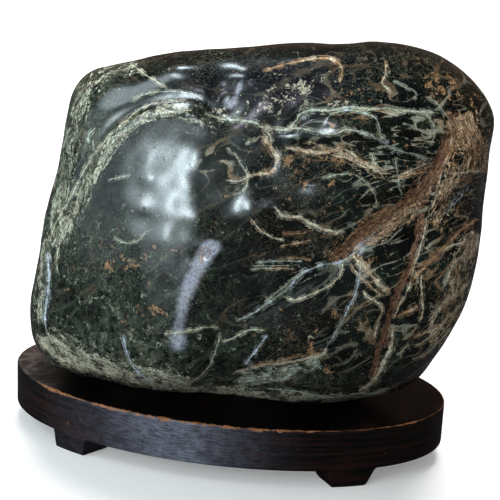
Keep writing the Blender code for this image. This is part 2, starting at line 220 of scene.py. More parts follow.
RIM_RADIUS = outline_radius(RIM_SOFTNESS)
BROAD_RADIUS = outline_radius(BROAD_SOFTNESS)


def block_surface(ways):
    """Points of the block along the unit vectors ways: ways * (h ** n + d ** n) ** (-1 / n).

    The outline's corners soften away from the rim, and two shears bring the block upright and
    in line with its stand.  What comes nearer to the eye is drawn in toward the eye's axis.
    """
    h = np.maximum(np.hypot(ways[:, 0], ways[:, 1]), 1e-9)
    angle = np.arctan2(ways[:, 1], ways[:, 0])
    rim = np.interp(angle, *RIM_RADIUS, period=2 * math.pi)
    broad = np.interp(angle, *BROAD_RADIUS, period=2 * math.pi)
    radius = rim + (broad - rim) * smooth_step((np.abs(ways[:, 2]) - RIM_BAND) / RIM_FADE)
    half_depth = np.where(ways[:, 2] > 0, FRONT_DEPTH, BACK_DEPTH)
    n = SQUARENESS
    size = ((h / radius) ** n + (np.abs(ways[:, 2]) / half_depth) ** n) ** (-1 / n)
    points = ways * size[:, None]
    upper = UPRIGHT_BEND * np.logaddexp(0, points[:, 1] / UPRIGHT_BEND)
    forward = UPRIGHT * math.tan(FACE_TILT) * upper + SQUARED * math.tan(FACE_TURN) * points[:, 0]
    points[:, 2] += forward
    drawn_in = (1 - forward / EYE)[:, None]
    points[:, :2] = (points[:, :2] + HEART_OFF_AXIS) * drawn_in - HEART_OFF_AXIS
    return points


def block_normals(ways):
    """Outward normals of the block: the cross product of its slopes along two tangents."""
    helper = np.where(np.abs(ways[:, :1]) < 0.8, np.array([[1.0, 0, 0]]), np.array([[0, 1.0, 0]]))
    first = np.cross(ways, helper)
    first /= np.linalg.norm(first, axis=1)[:, None]
    second = np.cross(ways, first)
    small_turn = 0.004
    slopes = []
    for tangent in (first, second):
        ends = [ways + sign * small_turn * tangent for sign in (1, -1)]
        ends = [end / np.linalg.norm(end, axis=1)[:, None] for end in ends]
        slopes.append(block_surface(ends[0]) - block_surface(ends[1]))
    normals = np.cross(slopes[0], slopes[1])
    normals /= np.linalg.norm(normals, axis=1)[:, None]
    return normals * np.sign(np.sum(normals * ways, axis=1))[:, None]


print("the block is about", round(2 * float(RIM_RADIUS[1].mean()) / MM), "mm across its face")

# %% [markdown]
# ## Swellings, creases and fine undulation
#
# Water and the polisher's hand leave a hard stone with broad swellings, and with creases where
# softer seams were worn away.  Each is a height along the normal: a swelling is a bell on an
# oval, and a crease is a groove along a curve with a step across it.

# %% The relief of the broad face and of the back
# A swelling is (middle, half size, tilt in degrees, height in mm).
SWELLINGS = {
    "belly": ((150, 238), (96, 122), -8, 8.0),
    "belly_foot": ((145, 345), (80, 36), 0, 4.5),
    "streak_ridge_high": ((207, 252), (11, 20), 32, 0.6),
    "streak_ridge_low": ((187, 298), (10, 34), 12, 0.6),
    "top_knob_right": ((247, 75), (13, 10), 0, 0.9),
    "ripple_1": ((154, 179), (11, 9), 0, 0.24),
    "ripple_2": ((200, 157), (10, 14), 0, 0.50),
    "ripple_3": ((195, 186), (8, 9), 0, 0.24),
    "ripple_4": ((203, 216), (14, 13), -10, 0.85),
    "ripple_5": ((150, 208), (9, 7), 10, 0.22),
    "ripple_6": ((176, 208), (10, 12), 0, 0.25),
    "left_shoulder": ((92, 118), (24, 40), 12, 3.0),
    "top_dimple": ((226, 101), (21, 16), -15, -3.0),
    "top_knob": ((180, 74), (26, 14), -8, 2.2),
    "top_right_back": ((395, 80), (50, 26), 10, 2.0),
    "green_lens": ((348, 132), (26, 13), 4, 2.6),
    "belly_toe": ((178, 362), (30, 22), 0, 3.0),
    "middle_boss": ((263, 213), (28, 24), 0, 2.2),
    "boss_step": ((252, 207), (12, 12), 0, 0.7),
    "dimple_knob": ((227, 102), (9, 8), 0, 1.2),
    "tongue": ((330, 197), (50, 20), 2, 2.1),
    "under_tongue": ((300, 243), (52, 10), 12, -1.8),
    "low_lobe": ((285, 345), (60, 26), -10, 2.2),
    "wedge": ((372, 318), (22, 44), 8, 2.0),
    "right_cheek": ((462, 150), (22, 38), 6, 2.4),
    "right_flank": ((446, 262), (22, 50), 18, 3.0),
    "right_waist": ((470, 203), (22, 16), -20, -2.4),
    "eye": ((204, 255), (7, 6), 30, -1.3),
}
# A crease is (route, half width, depth in mm, step in mm).
CREASES = {
    "arch": (
        ((58, 250), (68, 222), (80, 204), (93, 170), (113, 132), (138, 112), (166, 104),
         (198, 103), (216, 116), (244, 128)), 7.0, 1.6, 1.3,
    ),
    "seam": (
        ((448, 104), (453, 126), (449, 143), (441, 160), (430, 179), (413, 199), (393, 214),
         (374, 227), (358, 239), (344, 251), (322, 272)), 10.0, 2.8, 1.6,
    ),
    "side_seam": (
        ((422, 203), (415, 231), (412, 251), (407, 272), (400, 289), (394, 303), (389, 324),
         (384, 345), (379, 388)), 8.0, 2.0, 1.2,
    ),
    "belly_edge": (((230, 314), (219, 333), (213, 348), (208, 363), (200, 386)), 7.0, 1.4, 1.2),
    "fold_over_lens": (
        ((254, 127), (286, 130), (304, 114), (345, 106), (395, 109), (440, 113)), 6.0, 0.8, 0.9,
    ),
    "fold_under_lens": (((262, 134), (300, 146), (338, 149), (366, 164), (400, 177)), 6.0, 1.0, -0.7),
    "fold_over_tongue": (
        ((292, 183), (326, 177), (354, 176), (370, 187), (377, 200), (374, 218)), 5.5, 0.8, 1.1,
    ),
    "hollow_by_boss": (((256, 132), (271, 147), (271, 168), (248, 178)), 6.0, 0.4, 0.2),
    "low_fold": (((356, 258), (312, 277), (281, 297), (262, 309), (232, 324)), 7.0, 0.8, 0.8),
    "low_vein": (((357, 286), (348, 312), (332, 344), (300, 360), (250, 369), (212, 375)), 6.5, 0.7, 0.7),
    "flank_fold": (((484, 214), (462, 230), (445, 246), (420, 273), (402, 292)), 6.0, 1.0, 0.8),
    "foot_roll": (((200, 383), (246, 387), (300, 392), (350, 390), (396, 382)), 4.5, 0.9, 0.6),
}
# The back's are in millimetres from the heart, x as the front sees it and y up.
BACK_SWELLINGS = {
    "broad_back": ((-30, 10), (70, 55), 10, 6.0),
    "high_right": ((65, 45), (38, 30), -20, 4.0),
    "low_right": ((55, -45), (45, 26), 15, 3.5),
    "waist": ((20, 0), (22, 60), 25, -3.0),
    "low_hollow": ((-60, -50), (26, 18), -10, -3.0),
    "high_hollow": ((-70, 55), (24, 16), 20, -2.0),
}
BACK_CREASES = {
    "long_seam": (((48, 84), (34, 52), (26, 26), (10, 2), (4, -24), (16, -52), (22, -84)), 6.5, 2.4, 1.4),
    "cross_fold": (((22, 26), (54, 14), (84, 12), (118, 4)), 5.0, 1.2, 1.0),
    "left_fold": (((6, -24), (-22, -34), (-54, -34), (-86, -26), (-118, -30)), 5.0, 1.1, -1.0),
}
# A wave is (direction on the face frame, waves a metre, phase, height in mm).
BROAD_WAVES = (
    ((1.0, 0.35, 0.6), 17.0, 0.4, 0.9),
    ((-0.4, 1.0, 0.5), 22.0, 1.9, 0.8),
    ((0.5, -0.6, 1.0), 26.0, 3.1, 0.7),
)
FINE_WAVES = (
    ((1.0, 0.2, 0.3), 61.0, 0.3, 0.055),
    ((0.3, 1.0, -0.4), 73.0, 2.2, 0.05),
    ((0.8, -0.7, 0.2), 97.0, 1.1, 0.025),
    ((-0.5, -0.6, 0.9), 118.0, 4.0, 0.02),
)
STEP_REACH = 22.0
CREASE_REACH = 120.0
END_TAPER = 0.15
FRONT_START = 0.02
FRONT_FADE = 0.3
BACK_FADE = 0.4


def swelling_height(swelling, x, y):
    """height * exp(-(across ** 2 + down ** 2)) on an oval that is turned by its tilt."""
    (mid_x, mid_y), (half_x, half_y), tilt, height = swelling
    turn = math.radians(tilt)
    across = ((x - mid_x) * math.cos(turn) + (y - mid_y) * math.sin(turn)) / half_x
    down = ((y - mid_y) * math.cos(turn) - (x - mid_x) * math.sin(turn)) / half_y
    return height * np.exp(-(across ** 2 + down ** 2))


def crease_height(crease, x, y):
    """-depth * exp(-(gap / half width) ** 2), plus a step that fades out on both sides."""
    route, half_width, depth, step = crease
    gap, side, along, _ = follow(route, x, y, CREASE_REACH)
    ends = smooth_step(along / END_TAPER) * smooth_step((1 - along) / END_TAPER)
    groove = -depth * np.exp(-(gap / half_width) ** 2)
    ledge = step * side * (1 - np.exp(-gap / half_width)) * np.exp(-gap / STEP_REACH)
    return ends * (groove + ledge)


def wave_height(waves, points):
    """A sum of height * sin(2 pi * waves a metre * way along the direction + phase)."""
    total = np.zeros(len(points))
    for way, number, phase, tall in waves:
        travel = points @ (np.array(way) / np.linalg.norm(way))
        total += tall * np.sin(2 * math.pi * number * travel + phase)
    return total


def relief(points, normals):
    """Height to add along the normals, in metres."""
    x, y = template_place(points)
    front = sum(swelling_height(item, x, y) for item in SWELLINGS.values())
    front = front + sum(crease_height(item, x, y) for item in CREASES.values())
    x, y = points[:, 0] / MM, points[:, 1] / MM
    back = sum(swelling_height(item, x, y) for item in BACK_SWELLINGS.values())
    back = back + sum(crease_height(item, x, y) for item in BACK_CREASES.values())
    facing = normals[:, 2]
    height = front * smooth_step((facing - FRONT_START) / FRONT_FADE)
    height = height + back * smooth_step(-facing / BACK_FADE)
    height = height + wave_height(BROAD_WAVES, points) * (1 - smooth_step(facing / FRONT_FADE))
    return (height + wave_height(FINE_WAVES, points)) * MM


print(len(SWELLINGS), "swellings and", len(CREASES), "creases on the face,",
      len(BACK_SWELLINGS), "and", len(BACK_CREASES), "on the back")

# %% [markdown]
# ## The stone's mesh
#
# A sphere of longitude and latitude has crowded poles.  The stone is a box of grid lines
# instead, pressed to the surface along rays from its heart, with most of the lines on the broad
# face.  Where the stone would reach below its seat it is flattened with a soft corner, because
# the real stone was set on its flattest side.

# %% A box of grid lines, pressed to the stone
STONE_CELLS = (184, 150, 64)
GRID_SPREAD = np.array([1.0, 0.8, 0.62])
SEAT_DEPTH = 0.005
SETTLE_CORNER = 0.0022


def box_grid(cells):
    """Points from -1 to 1 on the faces of a box of cells, and quads that face outward."""
    keys, quads, count = [], [], 0
    sizes = np.array(cells) + 1
    for axis in range(3):
        second, third = (axis + 1) % 3, (axis + 2) % 3
        grid = np.meshgrid(np.arange(sizes[second]), np.arange(sizes[third]), indexing="ij")
        for level in (0, cells[axis]):
            place = [None, None, None]
            place[axis] = np.full(grid[0].shape, level)
            place[second], place[third] = grid
            keys.append(((place[0] * sizes[1] + place[1]) * sizes[2] + place[2]).ravel())
            number = count + np.arange(grid[0].size).reshape(grid[0].shape)
            ring = [number[:-1, :-1], number[1:, :-1], number[1:, 1:], number[:-1, 1:]]
            ring = ring if level else ring[::-1]
            quads.append(np.stack([corner.ravel() for corner in ring], axis=1))
            count += grid[0].size
    keys, index = np.unique(np.concatenate(keys), return_inverse=True)
    lattice = np.stack([keys // (sizes[1] * sizes[2]), keys // sizes[2] % sizes[1], keys % sizes[2]], axis=1)
    return 2.0 * lattice / np.array(cells) - 1.0, index.ravel()[np.concatenate(quads)]


def piece_from(name, points, faces):
    """A smooth-shaded object at the origin from an array of points and a list of faces."""
    mesh = bpy.data.meshes.new(name)
    mesh.from_pydata(points.tolist(), [], faces)
    mesh.shade_smooth()
    item = bpy.data.objects.new(name, mesh)
    bpy.context.scene.collection.objects.link(item)
    return item


cube_points, stone_quads = box_grid(STONE_CELLS)
ways = np.tan(cube_points * math.pi / 4) * GRID_SPREAD
ways /= np.linalg.norm(ways, axis=1)[:, None]
block_points = block_surface(ways)
stone_normals = block_normals(ways)
face_points = block_points + stone_normals * relief(block_points, stone_normals)[:, None]
stone_points = face_points @ AXES + HEART
seat_level = STAND_TOP - SEAT_DEPTH
lift = (stone_points[:, 2] - seat_level) / SETTLE_CORNER
stone_points[:, 2] = seat_level + SETTLE_CORNER * np.logaddexp(0.0, lift)
stone = piece_from("polished_stone", stone_points, stone_quads.tolist())
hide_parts("rock")
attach(stone, "root")
print("stone:", len(stone_points), "points,", 2 * len(stone_quads), "triangles")

# %% [markdown]
# ## Where the veins run
#
# The stone cracked and healed many times, and each crack filled with a paler mineral.  A vein
# is a line on the template with a half width and a tint.  Every point of the mesh keeps the
# signed distance to its nearest line, so the finish can draw a line far finer than the mesh:
# signed numbers blend straight through zero, where plain distances would round off.  Lines that
# cross go into different layers, because a layer knows only its nearest line.
#
# A vein is a sheet through the whole stone.  Behind the rim the template is turned and shifted
# more and more, so the sheets come out at the back in other places.

# %% The vein lines, layer by layer
# Tints run from 0, blue-white, through 0.25 pale green, 0.5 cream and 0.75 tan to 1, rust.
# A line is (half width in template units, tint, route).
VEIN_LAYERS = (
    (
        (1.0, 0.68, ((260, 72), (282, 65), (306, 60), (327, 58), (338, 63), (342, 70), (339, 84))),
        (1.5, 0.30, ((200, 111), (219, 118), (238, 120), (254, 122), (266, 128), (287, 129), (296, 120),
                     (303, 112), (330, 110), (349, 107), (370, 109), (387, 108), (409, 111), (429, 112),
                     (441, 113))),
        (2.2, 0.62, ((283, 147), (306, 151), (330, 152), (339, 148), (352, 153), (365, 164), (378, 172),
                     (393, 174))),
        (2.0, 0.50, ((274, 206), (282, 215), (298, 217), (311, 223), (326, 230), (346, 231))),
        (1.7, 0.14, ((359, 249), (343, 261), (325, 265), (313, 268), (301, 274), (289, 287), (275, 298),
                     (261, 308), (247, 316), (234, 321))),
        (1.0, 0.10, ((360, 262), (359, 279), (357, 289), (351, 303), (343, 319), (333, 337), (327, 347))),
        (1.8, 0.50, ((329, 344), (323, 353), (313, 357), (295, 361), (275, 364), (255, 367), (232, 373))),
        (0.9, 0.40, ((163, 333), (175, 333), (191, 330), (207, 327), (219, 328))),
        (2.2, 0.80, ((480, 218), (462, 229), (447, 244), (432, 259), (419, 273), (407, 285))),
        (1.2, 0.60, ((468, 283), (452, 297), (437, 310), (428, 322))),
        (1.4, 0.08, ((48, 250), (49, 282), (45, 314), (46, 330))),
        (0.9, 0.55, ((432, 326), (435, 312), (450, 297), (467, 285), (475, 279))),
        (1.1, 0.28, ((220, 330), (217, 345), (212, 360), (203, 374), (190, 382), (173, 380), (155, 373))),
        (0.9, 0.05, ((123, 333), (127, 352), (133, 367), (143, 376), (155, 383))),
        (1.5, 0.48, ((36, 333), (46, 347), (56, 357), (72, 363), (95, 369), (124, 377))),
        (1.0, 0.34, ((52, 333), (68, 349), (87, 357), (102, 360), (113, 366))),
        (0.8, 0.45, ((64, 356), (84, 363), (104, 368), (118, 371))),
        (0.7, 1.00, ((199, 257), (201, 251), (207, 248), (211, 252), (208, 258), (202, 261), (199, 257))),
        (0.9, 1.00, ((202, 257), (205, 254), (208, 252))),
        (0.9, 0.75, ((282, 233), (295, 234), (308, 232))),
        (0.8, 0.30, ((128, 103), (145, 94), (168, 91), (190, 93), (205, 102))),
    ),
    (
        (1.0, 0.58, ((385, 59), (386, 72), (382, 83), (390, 91), (389, 97))),
        (1.0, 0.45, ((262, 128), (269, 135), (271, 145))),
        (2.4, 0.62, ((260, 135), (269, 144), (274, 153), (277, 159), (271, 172), (250, 175))),
        (0.8, 0.25, ((322, 128), (330, 115), (350, 110), (371, 115), (378, 123), (382, 139), (390, 144))),
        (1.2, 0.60, ((330, 155), (349, 159), (362, 167))),
        (1.0, 0.55, ((250, 218), (260, 230), (271, 236), (285, 241))),
        (0.8, 0.35, ((318, 179), (352, 174), (370, 187), (376, 199), (374, 209))),
        (2.7, 0.54, ((352, 254), (359, 263), (367, 271), (375, 279), (383, 287), (391, 294))),
        (0.9, 0.58, ((427, 215), (425, 229), (421, 245), (415, 265), (407, 291), (399, 305), (393, 321))),
        (0.8, 0.40, ((462, 255), (452, 269), (445, 282), (442, 292))),
        (1.0, 0.52, ((343, 262), (341, 273), (333, 283), (323, 289), (309, 295), (295, 300), (281, 295))),
        (1.1, 0.40, ((221, 343), (235, 337), (248, 330), (256, 330), (265, 331))),
        (2.5, 0.52, ((393, 329), (391, 347), (384, 360), (379, 373), (370, 384), (358, 391))),
        (1.4, 0.55, ((421, 274), (422, 292), (423, 308), (420, 323))),
        (1.2, 0.35, ((255, 126), (275, 127), (300, 129), (332, 134), (345, 130), (360, 132), (372, 139))),
        (0.9, 0.35, ((397, 115), (407, 111), (420, 112), (430, 119), (435, 132), (430, 147))),
        (1.0, 0.55, ((362, 290), (368, 298), (378, 303), (382, 312), (377, 326), (374, 340))),
        (1.0, 0.65, ((412, 338), (425, 333), (438, 327), (455, 318), (463, 311))),
        (0.9, 0.70, ((250, 366), (275, 361), (300, 356), (322, 353))),
        (0.7, 0.80, ((275, 260), (292, 258), (312, 259))),
        (1.0, 0.55, ((225, 180), (240, 181), (252, 174))),
        (0.8, 0.40, ((62, 235), (57, 255), (57, 272))),
        (0.8, 0.30, ((147, 230), (138, 240), (124, 243), (113, 237))),
        (1.0, 0.50, ((450, 175), (463, 172), (481, 171))),
        (1.0, 0.66, ((447, 116), (451, 134), (450, 150), (443, 166), (440, 180), (436, 196), (431, 212))),
    ),
    (
        (0.8, 0.20, ((346, 128), (362, 132), (378, 139), (390, 147), (401, 151), (417, 155), (430, 161))),
        (0.8, 0.35, ((393, 80), (403, 86), (416, 92), (414, 100))),
        (0.9, 0.25, ((395, 156), (397, 172), (400, 188), (402, 196))),
        (1.3, 0.75, ((397, 177), (409, 175), (425, 172))),
        (0.8, 0.35, ((245, 144), (254, 140), (261, 136))),
        (0.9, 0.30, ((234, 153), (241, 164), (246, 173))),
        (0.8, 0.62, ((350, 262), (356, 272), (366, 281), (377, 292), (386, 296))),
        (1.1, 0.50, ((463, 243), (452, 245), (438, 255))),
        (0.8, 0.40, ((477, 233), (478, 249))),
        (1.8, 0.75, ((397, 316), (412, 310), (417, 305))),
        (1.8, 0.02, ((267, 335), (260, 345), (250, 358), (245, 365))),
        (0.7, 0.70, ((264, 269), (280, 268), (296, 270))),
        (1.0, 0.30, ((96, 128), (89, 135), (88, 143))),
        (0.9, 0.30, ((425, 97), (437, 104), (446, 114), (452, 124))),
        (0.9, 0.45, ((372, 152), (375, 165), (385, 180))),
        (1.0, 0.60, ((400, 174), (412, 170), (427, 164))),
        (0.8, 0.32, ((264, 303), (280, 290), (292, 279), (305, 270))),
        (0.8, 0.25, ((255, 262), (283, 261), (303, 261))),
        (0.7, 0.30, ((250, 269), (265, 268), (279, 270))),
        (0.9, 0.56, ((467, 299), (451, 315), (435, 333), (425, 341), (413, 347))),
        (0.8, 0.52, ((465, 290), (447, 301), (437, 313), (432, 325), (430, 334))),
        (0.8, 0.30, ((451, 268), (447, 277), (445, 287))),
        (0.9, 0.45, ((397, 356), (403, 350), (409, 345))),
        (0.8, 0.72, ((280, 246), (295, 243), (311, 240))),
        (0.9, 0.40, ((225, 147), (238, 158), (247, 174), (245, 188), (233, 196))),
        (0.8, 0.25, ((131, 175), (120, 177), (108, 181))),
        (0.9, 0.22, ((262, 388), (280, 389), (300, 392), (322, 396), (345, 397), (368, 395), (386, 390))),
        (1.0, 0.45, ((411, 360), (426, 354), (440, 340), (452, 328))),
        (1.0, 0.40, ((131, 64), (151, 78), (167, 88))),
        (0.8, 0.40, ((196, 99), (159, 102), (139, 110), (120, 126), (96, 151), (83, 172), (70, 198),
                     (56, 223), (48, 247))),
    ),
)
FAR = 60.0
LINE_REACH = 40.0
LINE_TAPER = 0.08
UNIT_MM = UNIT / MM

# %% [markdown]
# Some veins are bands of fibres, such as the pale arch over the belly and the rust-brown seam.
# A band keeps the distance across it and the length along it, and the finish stretches its
# streaks along the one and packs them across the other.

# %% The fibrous bands, the colour zones and the flecked places
# A band is (half width in template units, tint, strength, route).
BAND_LAYERS = (
    (
        (9.0, 0.38, 1.05, ((206, 112), (165, 109), (142, 119), (122, 135), (102, 160), (88, 184), (76, 208),
                            (63, 234), (54, 256))),
        (10.5, 0.92, 1.5, ((450, 104), (455, 126), (450, 143), (441, 160), (430, 179), (413, 199), (393, 214),
                          (374, 227), (358, 239), (344, 251), (322, 272))),
        (14.0, 0.42, 1.15, ((38, 332), (60, 349), (85, 362), (120, 372), (160, 380), (198, 386))),
        (13.0, 0.62, 1.1, ((478, 228), (462, 262), (454, 292), (444, 320), (428, 350))),
    ),
    (
        (12.0, 0.36, 0.85, ((160, 60), (125, 66), (100, 76), (84, 94), (77, 114), (72, 140), (66, 172),
                            (58, 205), (48, 240), (42, 275), (39, 310), (42, 338))),
        (4.8, 1.0, 1.3, ((424, 203), (421, 225), (417, 245), (412, 262), (403, 281), (395, 301), (387, 325),
                          (379, 350), (374, 373), (372, 390))),
        (18.0, 0.70, 1.4, ((460, 112), (468, 132), (476, 152), (478, 176))),
        (8.0, 0.26, 1.5, ((228, 381), (262, 378), (285, 374), (307, 366), (320, 358))),
        (3.6, 0.58, 0.9, ((357, 250), (366, 266), (378, 280), (392, 292))),
        (5.5, 0.42, 1.25, ((150, 384), (190, 388), (240, 392), (300, 398), (360, 397), (394, 388))),
    ),
    (
        (8.0, 0.72, 1.0, ((436, 185), (420, 206), (402, 220), (384, 232), (366, 246))),
        (5.0, 0.60, 0.8, ((350, 256), (358, 268), (367, 281))),
        (13.0, 0.68, 1.05, ((458, 160), (452, 180), (447, 198), (440, 215), (430, 229))),
        (5.0, 0.08, 1.0, ((470, 184), (460, 194), (450, 206), (444, 216))),
        (9.0, 0.66, 0.9, ((300, 148), (335, 151), (362, 162), (386, 176))),
        (3.6, 0.60, 0.8, ((274, 210), (300, 219), (330, 231), (352, 240))),
        (3.2, 0.30, 0.5, ((236, 324), (265, 309), (296, 285), (330, 266), (356, 254))),
        (5.0, 0.30, 0.8, ((96, 160), (112, 140), (136, 124), (166, 116), (200, 122), (222, 138))),
    ),
)
# A soft spot is (middle, half size, tilt in degrees, amount).  Zones tint the ground, flecks and
# highlights are specks and painted lavender highlights, bedding has its own streaks, and cover is
# lace and islands.
ZONES = {
    "green": (
        ((140, 260), (100, 120), 0, 0.8), ((100, 100), (40, 40), 0, 0.7), ((352, 122), (26, 10), 4, 1.7),
        ((425, 127), (14, 9), 0, 0.9), ((325, 195), (46, 16), 2, 0.6), ((457, 278), (14, 21), 20, 1.3),
        ((402, 331), (9, 15), 8, 1.3), ((367, 306), (10, 6), -10, 1.5), ((362, 322), (10, 8), 0, 1.0),
        ((395, 364), (8, 10), 0, 1.2), ((380, 277), (14, 10), 30, 0.8), ((290, 297), (11, 4), 10, 1.3),
        ((264, 329), (6, 3), 0, 1.5), ((235, 348), (20, 14), 0, 0.6), ((215, 165), (16, 16), 0, 0.9),
    ),
    "navy": (((300, 90), (70, 32), 0, 1.0), ((240, 95), (25, 20), 0, 0.6), ((465, 245), (14, 14), 0, 0.4)),
    "brown": (((300, 240), (75, 55), 0, 0.8), ((300, 310), (80, 50), 0, 0.9), ((430, 80), (55, 30), 0, 0.6)),
    "pale": (
        ((70, 160), (26, 90), 8, 0.7), ((130, 345), (80, 30), 0, 0.6), ((300, 385), (90, 10), 0, 0.5),
        ((238, 122), (40, 10), 8, 0.4),
    ),
}
FLECKS_AND_HIGHLIGHTS = {
    "tan": (
        ((120, 260), (52, 26), 0, 0.7), ((305, 182), (60, 16), 4, 0.6), ((345, 208), (30, 10), 0, 0.5),
        ((330, 322), (60, 26), -20, 0.3), ((442, 90), (36, 15), 20, 1.0), ((309, 347), (8, 8), 0, 1.2),
        ((150, 312), (20, 14), 0, 0.9), ((470, 148), (20, 34), 0, 0.9), ((400, 150), (24, 16), 0, 0.4),
        ((360, 95), (40, 10), 4, 0.6), ((327, 367), (7, 8), 0, 1.2), ((299, 243), (8, 3), 0, 1.0),
        ((305, 158), (46, 9), 5, 0.8), ((366, 264), (12, 18), -35, 1.1), ((440, 325), (24, 20), 0, 0.6),
    ),
    "cream": (
        ((300, 88), (34, 12), -22, 0.85), ((342, 102), (16, 5), 4, 1.0), ((270, 104), (48, 20), 0, 0.55),
        ((215, 112), (20, 10), 10, 0.4), ((395, 180), (16, 10), 0, 0.5), ((240, 225), (26, 16), 0, 0.4),
    ),
    "green": (
        ((160, 345), (90, 36), 0, 0.45), ((110, 300), (60, 60), 0, 0.35), ((60, 130), (30, 60), 0, 0.7),
    ),
    # The lavender spots are painted highlights, mirrored light painted into the colour: a streak down the
    # belly, two spots by the top dimple and a faint sheen by the boss.
    "painted_highlights": (
        ((212, 247), (11, 8), 0, 0.85), ((203, 259), (9, 13), 35, 0.95), ((191, 282), (9, 18), 25, 0.85),
        ((182, 311), (9, 20), 12, 0.58), ((178, 341), (10, 14), 0, 0.72), ((239, 88), (4, 11), 20, 0.7),
        ((230, 104), (9, 7), 0, 0.7), ((262, 203), (26, 9), 8, 0.36),
    ),
}
BEDDING_SLOPE = 0.5
BEDDING_TOP = 120.0
BEDDING_FADE = 120.0
BEDDING = {
    "rich": (
        ((290, 255), (70, 40), 0, 0.65), ((320, 180), (70, 50), 0, 0.35),
        ((450, 280), (30, 60), 0, 0.4), ((400, 130), (80, 50), 0, 0.4), ((120, 300), (80, 70), 0, 0.35),
    ),
    "pale": (((120, 250), (90, 150), 0, 0.9), ((290, 370), (80, 16), 0, 0.8)),
}
COVER = {
    "pale_lace": (
        ((120, 240), (110, 140), 0, 0.8), ((330, 120), (60, 30), 0, 0.5), ((90, 120), (40, 60), 0, 0.5),
    ),
    "cream_lace": (
        ((340, 200), (120, 130), 0, 0.35), ((240, 375), (120, 16), 0, 0.6), ((130, 340), (60, 40), 0, 0.7),
    ),
    "tan_lace": (
        ((400, 130), (90, 90), 0, 0.8), ((440, 300), (40, 70), 0, 1.0), ((300, 200), (90, 60), 0, 0.4),
    ),
    "islands": (
        ((218, 165), (24, 22), 0, 0.8), ((415, 260), (80, 130), 0, 0.7), ((390, 130), (90, 50), 0, 0.75),
        ((280, 330), (80, 60), 0, 0.12),
    ),
}
BACK_TURN = math.radians(40)
BACK_SHIFT = (-34.0, 22.0)
BACK_START = 0.6


for title, kinds in (("zones", ZONES), ("flecks_and_highlights", FLECKS_AND_HIGHLIGHTS), ("bedding", BEDDING), ("cover", COVER)):
    print(title, {name: len(spots) for name, spots in kinds.items()})

# %% Each point's distances and amounts, kept on the mesh
def vein_place(points, ways):
    """Template x and y, turned by up to BACK_TURN and shifted behind the rim."""
    x, y = template_place(points)
    behind = smooth_step(-ways[:, 2] / BACK_START)
    turn = BACK_TURN * behind
    across, down = x - HEART_PLACE[0], y - HEART_PLACE[1]
    turned_x = across * np.cos(turn) - down * np.sin(turn) + BACK_SHIFT[0] * behind
    turned_y = across * np.sin(turn) + down * np.cos(turn) + BACK_SHIFT[1] * behind
    return HEART_PLACE[0] + turned_x, HEART_PLACE[1] + turned_y


def line_field(lines, x, y):
    """For each point its nearest line's signed distance, plain distance, half width and tint."""
    field = np.zeros((len(x), 4))
    field[:, :2] = FAR
    for half_width, tint, route in lines:
        gap, side, share, _ = follow(route, x, y, LINE_REACH)
        taper = smooth_step(share / LINE_TAPER) * smooth_step((1 - share) / LINE_TAPER)
        found = np.stack([side * gap, gap, half_width * taper, np.full(len(x), tint)], axis=1)
        field = np.where((gap < np.minimum(field[:, 1], LINE_REACH))[:, None], found, field)
    field[:, :3] *= UNIT_MM
    return field


def band_field(bands, x, y):
    """For each point its strongest band's signed distance, length along, strength and tint."""
    field = np.zeros((len(x), 4))
    for half_width, tint, strength, route in bands:
        gap, side, share, length = follow(route, x, y, LINE_REACH)
        ends = smooth_step(share / LINE_TAPER) * smooth_step((1 - share) / LINE_TAPER)
        power = strength * ends * np.exp(-(gap / half_width) ** 2)
        found = np.stack([side * gap * UNIT_MM, length * UNIT_MM, power, np.full(len(x), tint)], axis=1)
        field = np.where((power > field[:, 2])[:, None], found, field)
    return field


def spot_field(kinds, x, y):
    """One column for each kind of soft spot: the sum of its bells, kept between 0 and 1."""
    columns = [sum(swelling_height(spot, x, y) for spot in spots) for spots in kinds.values()]
    columns += [np.zeros(len(x))] * (4 - len(columns))
    return np.clip(np.stack(columns, axis=1), 0, 1)


def flow_field(x, y):
    """Along and across the bedding in mm, how rich its streaks are, and how pale.

    The bedding lies level at the top and slopes up to the right lower down: across is
    y + slope * (x - middle), with a slope that grows with y.
    """
    slope = BEDDING_SLOPE * smooth_step((y - BEDDING_TOP) / BEDDING_FADE)
    across = y + slope * (x - HEART_PLACE[0])
    amounts = spot_field(BEDDING, x, y)
    return np.stack([x * UNIT_MM, across * UNIT_MM, amounts[:, 0], amounts[:, 1]], axis=1)


def keep_field(item, name, values):
    """Stores four numbers a point, which the finish reads by this name."""
    layer = item.data.attributes.new(name, "FLOAT_COLOR", "POINT")
    layer.data.foreach_set("color", values.astype(np.float32).ravel())


vein_x, vein_y = vein_place(face_points, ways)
for number, lines in enumerate(VEIN_LAYERS, 1):
    keep_field(stone, f"veins_{number}", line_field(lines, vein_x, vein_y))
for number, bands in enumerate(BAND_LAYERS, 1):
    keep_field(stone, f"bands_{number}", band_field(bands, vein_x, vein_y))
keep_field(stone, "zones", spot_field(ZONES, vein_x, vein_y))
flecks_and_highlights = spot_field(FLECKS_AND_HIGHLIGHTS, vein_x, vein_y)
# The painted lavender highlights are kept to the front.
flecks_and_highlights[:, 3] *= 1 - smooth_step(-ways[:, 2] / BACK_START)
keep_field(stone, "flecks_and_highlights", flecks_and_highlights)
keep_field(stone, "flow", flow_field(vein_x, vein_y))
keep_field(stone, "cover", spot_field(COVER, vein_x, vein_y))
print(sum(len(lines) for lines in VEIN_LAYERS), "veins in", len(VEIN_LAYERS), "layers and",
      sum(len(bands) for bands in BAND_LAYERS), "bands")

